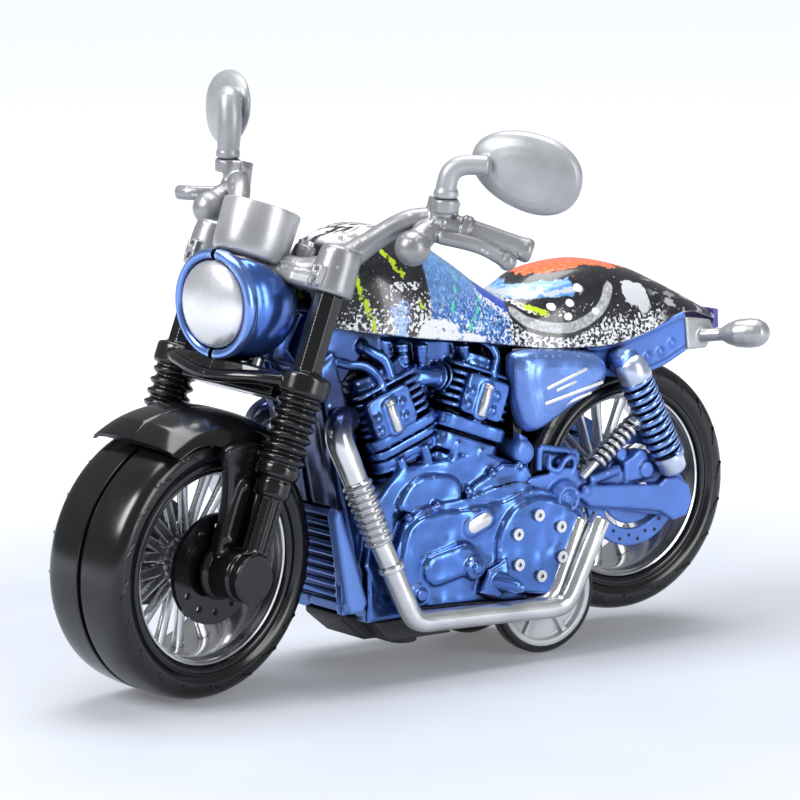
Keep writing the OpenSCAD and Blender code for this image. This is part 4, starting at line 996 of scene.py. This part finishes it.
# --- fork and fender
def fork_side(side):
    """Fender half, and the fork leg with its bellows, stay, yoke and axle boss."""
    s = half(side, FRONT_WHEEL)
    rows = []
    for i in range(61):
        a = 62 + i
        deep = min(1, max(0, (a - 70) / 26)) ** 1.6
        low = 21.0 - 3.4 * deep
        thin = 0.5 + 0.5 * min(1, (a - 62) / 9)
        c, d = polar(1, math.radians(a))
        sec = [(23.55, 0.06), (23.7, 0.3), (23.66, 2.4), (23.5, 4.4), (23.2, 6.1), (22.7, 7.5), (22.1, 8.6),
                (21.4, 9.3), (21.0 - 1.7 * deep, 9.65), (low, 9.8), (low, 9.1), (21.2 - deep, 8.7), (21.6, 8),
                (21.9, 6.4), (21.95, 3), (21.95, 0.06)]
        sec = sec[:1] + curve(sec[1:10], 3) + sec[10:]
        sec = [(21.9 + (r - 21.9) * thin if r > 21.9 else r, y) for r, y in sec]
        rows.append([(r * c, y, r * d) for r, y in sec])
    s.grid(rows, wrap_u=True, caps=True)
    s.build("fender_" + side, "black", "steering", ["fork_half_" + side], 50)
    # legs, stay, yoke and axle boss
    f = Shape(s.m)
    leg = LEG @ place(-0.9, 13.8, 0)
    prof = [(0, -2.6), (1.75, -2.6), (1.75, 12.6), (2.45, 12.7), (2.6, 13), (2.6, 15), (2.3, 15.3),
            (2.35, 15.6), (3, 15.8), (3.15, 16.1), (3.15, 17.4), (2.9, 17.7)]
    for i in range(6):
        z = 17.7 + i * 1.78
        prof += [(2.5, z + 0.12), (3.2, z + 0.4), (3.55, z + 0.8), (3.5, z + 1.15), (2.9, z + 1.5)]
    prof += [(3.3, 28.5), (3.75, 28.6), (3.95, 28.9), (3.95, 31.4), (3.75, 31.8), (3.2, 32), (2.6, 32.2),
            (0, 32.2)]
    f.lathe(prof, 48, leg)
    f.spin([(2.4, 31), (2.4, 44.6)], 8, LEG @ place(-0.5, 13.8, 0) @ turn("Z", 22.5))
    for a in range(8):
        x, y = polar(1.72, math.radians(a * 45 + 10))
        f.tube([(x, y, z) for z in (1, 5.5, 12.6)], 0.4, 8, local=leg)
    f.deck([(-5, -0.1), (-5, 13.8), (2.2, 13.8), (3.6, 10.4), (4.9, 6), (5.4, 2.4), (5.5, -0.1)], 28.9, 31.2,
            LEG, 0.5)
    f.deck([(-4.8, -0.1), (-4.8, 10), (1.6, 10), (2.6, -0.1)], 27.2, 29.2, LEG, 0.4)
    f.tube(spline([(2.4, 12.4, 30), (4.2, 9.2, 29.4), (5.4, 5.4, 28.7), (5.8, 2.4, 28.2), (5.8, -0.3, 28)],
            5), 0.95, 16, local=LEG)
    f.spin([(4.6, 8.9), (4.5, 9.6), (3.95, 10.2), (3.9, 14), (3.6, 14.3), (3.55, 14.7), (3.85, 14.9),
            (3.85, 16.2), (3.7, 16.4)], 56, SIDE)
    stay = rounded([(-7.6, 18), (-3, 19.8), (1.4, 19.2), (0.9, 16.4), (0.8, 12), (1.5, 8), (2.6, 4.2),
            (3.2, 0), (1.5, -3), (-2, -3.6), (-3.8, 0), (-3.7, 4), (-4.6, 9), (-5.8, 14)], 3)
    f.prism(stay, 8.95, 11.2, 0.5)
    f.prism(capsule(-2.1, 12.9, -0.7, 9.8, 1.15), 10.6, 11.75, 0.4)
    f.prism(capsule(-0.5, 9.2, 0.7, 5.6, 1.15), 10.6, 11.75, 0.4)
    for x, z in ((-2.2, 13.2), (0.8, 5.3)):
        f.button(x, z, 11.4, 0.7, 0.6)
    f.fuse("fork_leg_" + side, "black", "steering", rounds=2)


fork_side("left")
fork_side("right")


# --- lamp ring, gauge and bars
def lamp_ring(side):
    """Half of the rolled ring round the lens."""
    s = half(side, STEER)
    prof = [(6.85, 1.6), (6.85, 0.5), (7.1, 0.1), (7.6, -0.15), (8.1, -0.05), (8.45, 0.4), (8.5, 1.2),
            (8.3, 1.75), (7.6, 1.9)]
    rows = [[(*polar(r, math.radians(3.2 + 173.6 * i / 60)), h) for r, h in prof] for i in range(61)]
    s.grid(rows, LAMP, wrap_u=True, caps=True)
    s.build("lamp_ring_" + side, "blue", "steering")


BOWL = [(1.75, 7.5), (1.8, 8.3), (2.1, 8.3), (2.6, 8.65), (3.4, 8.95), (4.6, 9.08), (6, 9), (7.4, 8.78),
        (8.8, 8.4), (10, 7.9), (11.1, 7.2), (12.1, 6.3), (12.9, 5.2), (13.5, 3.8), (13.85, 2), (13.9, 0.02),
        (13, 0.02), (12.8, 3.6), (11.8, 6), (9.6, 7.6), (6, 8.2), (3, 8)]


def lamp_bowl(side):
    """Round bucket, kept clear of the bars above and of the head tube behind."""
    rows = []
    into = RAKED.inverted()
    tube_clear, ahead, under_bars, rise = 3.9, 0.6, 44.35, 1.75
    for i in range(73):
        a = math.radians(0.5 + 179 * i / 72)
        row = []
        for h, r in BOWL:
            q = into @ (LAMP @ Vector((r * math.cos(a) - 0.045 * h, r * math.sin(a), h)))
            lift = max(0, min(1, (q.x - 1.5) / 4.5))
            q.z = min(q.z, under_bars + rise * lift * lift * (3 - 2 * lift))
            dx = q.x + 3
            if dx < ahead and math.hypot(dx, q.y) < 2 * tube_clear:
                dx = ahead
            if math.hypot(dx, q.y) < tube_clear:
                dx = math.sqrt(max(tube_clear ** 2 - q.y ** 2, ahead ** 2))
            q.x = dx - 3
            row.append(RAKED @ q)
        rows.append(row)
    s = half(side, STEER)
    s.grid(rows, wrap_u=True, caps=True)
    s.build("lamp_bowl_" + side, "blue", "steering", ["headlamp_shell_" + side], 50)


for side in ("left", "right"):
    lamp_ring(side)
    lamp_bowl(side)

s = Shape(STEER)
dome_prof = [(0, 2.6), (6.6, 2.6), (6.7, 1.4), (6.72, 0.5)]
for i in range(1, 13):
    a = math.pi / 2 * i / 12
    dome_prof.append((6.7 * math.cos(a), 0.4 - 1.95 * math.sin(a)))
s.lathe(dome_prof, 72, LAMP)
s.build("lens_dome", "pearl", "steering", ["headlamp_lens"], 60)

s = Shape(FRONT_WHEEL @ LEG @ place(4.6, 0, 0))
s.lathe([(0, 46.7), (5, 46.7), (5.5, 46.95), (5.75, 47.5), (5.9, 48.6), (6.1, 54.7), (6, 55.05),
        (5.75, 55.15), (5.45, 55.05), (5.35, 54.6), (5.2, 54.1), (0, 54)], 72)
s.build("gauge_housing", "gauge", "steering", ["gauge_cup"])


def bar_half(s, local, lever, knob):
    """Yoke top, riser, bar, switch block, grip and lever of one side."""
    f = local @ RAKED
    s.spin([(3.3, 44.5), (3.55, 44.8), (3.55, 45.6), (3.3, 50.2), (3.1, 51.4), (2.6, 51.9)], 48,
            f @ place(-0.5, 13.8, 0))
    for dy in (-0.85, 0.55):
        s.box((1.6, 0.75, 3), f @ place(2.9, 13.9 + dy, 46.6), 0.2)
    s.tube([(3.2, 12.9, 46.6), (3.2, 14.6, 46.6)], 0.6, local=f)
    s.deck([(-3.2, -0.2), (-3, 13.8), (2, 13.8), (2.6, 8), (4.6, 4.4), (8.4, 3.4), (9.2, -0.2)], 44.6, 46.9,
            f, 0.6)
    s.spin([(2.4, 44.6), (2.4, 47)], 32, f @ place(-3, 0, 0))
    s.spin([(1.75, 46), (1.7, 51), (1.45, 51.3)], 28, f @ place(-1.9, 4.8, 0))
    s.tube(spline([f @ Vector((-0.6, 12.6, 49)), f @ Vector((0.2, 8.6, 47.6)), f @ Vector((2.4, 4.6, 47.4))],
            5), lambda t: 2.0 - 0.5 * t, 20)
    pts = spline([(62.4, 12.8, 65.6), (60, 12.9, 67.1), (57.4, 14.2, 69.1), (54.6, 16.5, 71.6),
            (52.2, 18.8, 73.3), (49.6, 21.8, 73.9)], 7)
    s.tube(pts, lambda t: 2.35 - 0.6 * min(1, t * 2), 28, local=local)
    s.ball(2.75, local @ place(55.2, 22.4, 69.9), 16, 40)
    s.tube([(55, 22.3, 70.2), (52.4, 22.2, 71.7), (50, 22.2, 72.8)], lambda t: 2.2 - 0.5 * t, 24, local=local)
    block = local @ place(49.4, 22.4, 73.6) @ turn("Z", -20) @ turn("Y", -12)
    s.box((4.2, 3.3, 6.8), block, 0.35)
    s.box((2.6, 3.9, 2.2), block @ place(0.4, 0, 1.6), 0.3)
    grip = [(49.2, 22.8, 73.3), (46.4, 26.2, 72.2), (43.2, 30.1, 70.7), (40.4, 33.4, 69.4)]
    s.tube(spline(grip, 4), lambda t: 1.95 if t < 0.9 else 2.1, 28, 0.9, local)
    for t in (0.2, 0.26):
        a, b = Vector((49.2, 22.8, 73.3)), Vector((40.4, 33.4, 69.4))
        p, q = a + (b - a) * t, a + (b - a) * (t + 0.03)
        s.spin([(2.3, 0), (2.3, 0.55)], 28, local @ aim(p, q))
    s.spin([(2, 75.2), (2.05, 76.9), (1.85, 77.25), (0.95, 77.3), (0.95, 76.2)], 32, local @ place(50, 24, 0))
    s.tube(spline(lever, 5), 0.95, 20, 1.25, local)
    if knob:
        s.ball(1.45, local @ place(*lever[-1]), 12, 28)


s = Shape(STEER)
bar_half(s, Matrix(), [(51.4, 24, 71.6), (47.6, 29, 70.4), (44.4, 32, 68.2)], True)
bar_half(s, FLIP, [(51.6, 23.6, 71.8), (54.4, 27.4, 71.6), (54.8, 30.4, 71.4)], False)
s.fuse("bar_moulding", "grey", "steering", ["handlebar"], 0.19)


def mirror(side):
    """Bent arm with its plug, and the oval head."""
    s = half(side, STEER)
    if side == "left":
        arm = [(50, 24, 77.4), (49.9, 24, 79.4), (49.3, 24.4, 81.4), (47.9, 25.8, 82.4), (45.6, 28.8, 82.5)]
        rad, c = (lambda t: 1.62 - 0.1 * t), (41.8, 32.6, 81.8)
    else:
        arm = [(50, 24, 77.4), (49.9, 24, 80.4), (49.6, 24.2, 83.6), (48.8, 25.4, 86.6), (46.6, 28, 86.2)]
        rad, c = (lambda t: 1.7 + 0.25 * math.sin(t * 3)), (43.2, 31.6, 84.2)
    s.tube(spline(arm, 6), rad, 28)
    s.lathe([(0, 77.36), (1.7, 77.36), (1.95, 77.7), (1.9, 78.4), (1.6, 78.8), (0, 78.9)], 32,
            place(50, 24, 0))
    head = place(*c) @ turn("Z", 24) @ turn("X", -14)
    rows = []
    shape = [(0.02, -0.75), (0.6, -0.78), (0.86, -0.8), (0.9, -0.95), (0.965, -0.95), (1, -0.6), (0.99, -0.1),
            (0.93, 0.6), (0.82, 1.15), (0.66, 1.6), (0.44, 1.95), (0.22, 2.12), (0.02, 2.16)]
    for a in around(72):
        u, w = math.cos(a), math.sin(a)
        u = math.copysign(abs(u) ** 0.93, u)
        w = math.copysign(abs(w) ** 0.93, w)
        hy, hz = 9.0 * u, 6.0 * w * (1 + 0.12 * u)
        rows.append([(d, k * hy, k * hz) for k, d in shape])
    s.grid(rows, head, wrap_v=True)
    s.fuse("mirror_body_" + side, "mirror", "mirror_l" if side == "left" else "mirror_r", ["mirror_" + side],
            0.17)


mirror("left")
mirror("right")


# --- exhaust
def exhaust(side):
    """Header, ribbed joint and the two pipes that sweep up at the back."""
    s = half(side)
    upper = spline([(53.6, 7.4, 41), (56.6, 9.6, 40.9), (58.3, 11.5, 38.8), (57.2, 12.1, 35.2),
            (55.9, 12.5, 31.6)], 8)
    s.tube(upper, lambda t: 1.95 + 0.2 * math.sin(math.pi * t), 32)
    a, b = Vector((55.9, 12.5, 31.8)), Vector((52.3, 13.4, 22))
    prof = [(0, -0.2), (1.9, -0.2)]
    n, length = 9, (b - a).length
    for i in range(n):
        z = length * i / n
        w = length / n
        prof += [(1.95, z + 0.08 * w), (2.3, z + 0.25 * w), (2.42, z + 0.5 * w), (2.3, z + 0.75 * w),
                (1.95, z + 0.92 * w)]
    prof += [(1.8, length + 0.1), (0, length + 0.1)]
    s.lathe(prof, 48, aim(a, b))
    run = spline([(52.5, 13.35, 22.6), (51.2, 13.7, 19.6), (49.8, 14, 16.2), (48.3, 14.3, 12.6)], 6)
    run += spline([(47.7, 14.35, 11.2), (46.6, 14.4, 9.7), (44.8, 14.4, 9), (42, 14.4, 8.88)], 6)
    run += spline([(36, 14.4, 8.68), (26, 14.4, 8.3), (20.4, 14.4, 8.06), (18, 14.45, 8.5), (16.6, 14.5, 10),
            (15.2, 14.52, 12.6)], 6)
    run += [Vector((12.8, 14.56, 17.2)), Vector((10.4, 14.6, 21.6))]
    s.tube(run, 1.72, 32)
    s.spin([(2, 0), (2.15, 0.2), (2.15, 0.9), (2, 1.1)], 40, aim((50.7, 13.8, 18.6), (50.2, 13.95, 17.2)))
    second = spline([(24, 13.2, 8.4), (20.6, 13.2, 8.9), (18.6, 13, 10.4), (17.2, 12.95, 13.2)], 6)
    second += [Vector((15.2, 12.9, 17.4)), Vector((13.2, 12.9, 21.6))]
    s.tube(second, 1.4, 28)
    s.build("exhaust_pipe_" + side, "pipe", "chassis", ["exhaust_" + side])


exhaust("left")
exhaust("right")


# --- side covers and radiator frame
def side_cover(side):
    """Pillowed cover under the seat with its stripes, and the radiator's frame."""
    s = half(side)
    line = rounded([(25.2, 47.4), (23.8, 49), (16.6, 48.8), (9, 47.7), (6.7, 46), (6.3, 44), (8, 41.9),
            (13.8, 39.1), (19.4, 36.3), (21.8, 36), (23.4, 37.6), (24.8, 42)], 4)
    s.prism(line, 8.9, 10.8, 0.5)
    for k, y in ((0.97, 11.35), (0.94, 11.8), (0.9, 12.15), (0.85, 12.45), (0.79, 12.67), (0.71, 12.84),
            (0.6, 12.97)):
        inner = [(15.8 + (x - 15.8) * k, 43.2 + (z - 43.2) * (k - 0.01)) for x, z in line]
        s.prism(inner, 10.4, y, 0.25)
    s.fuse("cover_" + side, "panel", "chassis", ["side_cover_" + side], 0.2, 12)
    t = Shape(s.m)
    for x0, z0, x1, z1, r in ((19.8, 40.6, 8.8, 43, 0.3), (17, 39.9, 11, 41.5, 0.26),
            (19.4, 43, 12, 45.4, 0.3), (17.6, 42.5, 14, 43.6, 0.24)):
        t.prism(capsule(x0, z0, x1, z1, r, 5), 12.2, 13.02 if 41.2 < (z0 + z1) / 2 < 45 else 12.85, 0.06)
    t.build("cover_stripes_" + side, "silver", "chassis")
    g = Shape(s.m)
    g.prism([(52.4, 12.2), (53.2, 10.6), (55.6, 10.6), (56.4, 12.2), (57.6, 20.5), (58.4, 26.2), (57.9, 27.4),
            (56.9, 27), (54.9, 20.5)], 7.6, 10.3, 0.6)
    g.prism([(54.2, 10.6), (56.4, 10.9), (56.8, 12.4), (54.4, 12.4)], 0, 9.8, 0.5)
    g.fuse("radiator_frame_" + side, "frame", "chassis", rounds=4)


side_cover("left")
side_cover("right")


# --- floor, light and camera
def floor():
    """Pale paper with a painted glow that grows away from the toy."""
    me = bpy.data.meshes.new("floor")
    n = 24
    radii = (0.15, 0.5, 2, 6)
    verts, faces = [(0, 0, 0)] + [(*polar(r, a), 0) for r in radii for a in around(n)], []
    for i in range(n):
        faces.append((0, 1 + i, 1 + (i + 1) % n))
        for k in range(len(radii) - 1):
            a, c = 1 + k * n, 1 + (k + 1) * n
            faces.append((a + i, c + i, c + (i + 1) % n, a + (i + 1) % n))
    me.from_pydata(verts, [], faces)
    m = Mat("floor_paper")
    grain = m.noise(0.02, 3)
    col = m.mix(m.ramp(grain, 0.3, 0.7), (0.43, 0.46, 0.52), (0.45, 0.48, 0.54))
    # painted light: the floor's own emission, faint near the toy and strong far from it
    far_glow = m.ramp(m.vec("LENGTH", m.mm), 75, 270, 0.15, 0.8)
    m.out(Base_Color=col, Roughness=m.ramp(grain, 0.3, 0.7, 0.5, 0.6), Emission_Color=(0.97, 0.98, 1),
          Emission_Strength=far_glow, Normal=m.bump(m.noise(1.5, 2), 0.02, 0.1))
    me.materials.append(m.mat)
    ob = bpy.data.objects.new("floor", me)
    bpy.context.scene.collection.objects.link(ob)


def area(name, loc, size, power):
    """Rectangular light aimed at the middle of the toy."""
    li = bpy.data.lights.new(name, "AREA")
    li.shape = "RECTANGLE"
    li.size, li.size_y = size
    li.energy = power
    ob = bpy.data.objects.new(name, li)
    ob.location = loc
    ob.rotation_euler = (Vector((0, 0, 0.04)) - loc).to_track_quat("-Z", "Y").to_euler()
    bpy.context.scene.collection.objects.link(ob)


floor()
VIEW_AZIMUTH = math.radians(145.6)
view_dir = Vector((math.sin(VIEW_AZIMUTH), -math.cos(VIEW_AZIMUTH), 0))
right = Vector((math.cos(VIEW_AZIMUTH), math.sin(VIEW_AZIMUTH), 0))
area("key", view_dir * 0.30 - right * 0.50 + Vector((0, 0, 0.5)), (0.25, 0.35), 4.6)
area("fill", view_dir * 0.45 + right * 0.55 + Vector((0, 0, 0.22)), (0.25, 0.45), 2.3)
area("top", Vector((0, 0, 0.7)) - view_dir * 0.15, (0.5, 0.5), 4.9)
world = bpy.data.worlds.new("studio")
world.use_nodes = True
bg = next(n for n in world.node_tree.nodes if n.type == "BACKGROUND")
bg.inputs[0].default_value = (0.95, 0.97, 1, 1)
bg.inputs[1].default_value = 0.34
bpy.context.scene.world = world
bpy.context.scene.view_settings.view_transform = "Standard"

cam_data = bpy.data.cameras.new("camera")
cam_data.lens = 180
cam_data.sensor_width = 36
cam_data.clip_start, cam_data.clip_end = 0.01, 20
cam = bpy.data.objects.new("camera", cam_data)
# fitted to the photograph by the circles of both wheels
EYE, AIM_AT, ROLL = (392.18, 515.07, 135.09), (39, 0, 41.5), math.radians(-0.732)
eye = BIKE @ Vector(EYE)
aim_at = BIKE @ Vector(AIM_AT)
look = (aim_at - eye).to_track_quat("-Z", "Y")
cam.matrix_world = Matrix.Translation(eye) @ look.to_matrix().to_4x4() @ Matrix.Rotation(ROLL, 4, "Z")
bpy.context.scene.collection.objects.link(cam)
bpy.context.scene.camera = cam
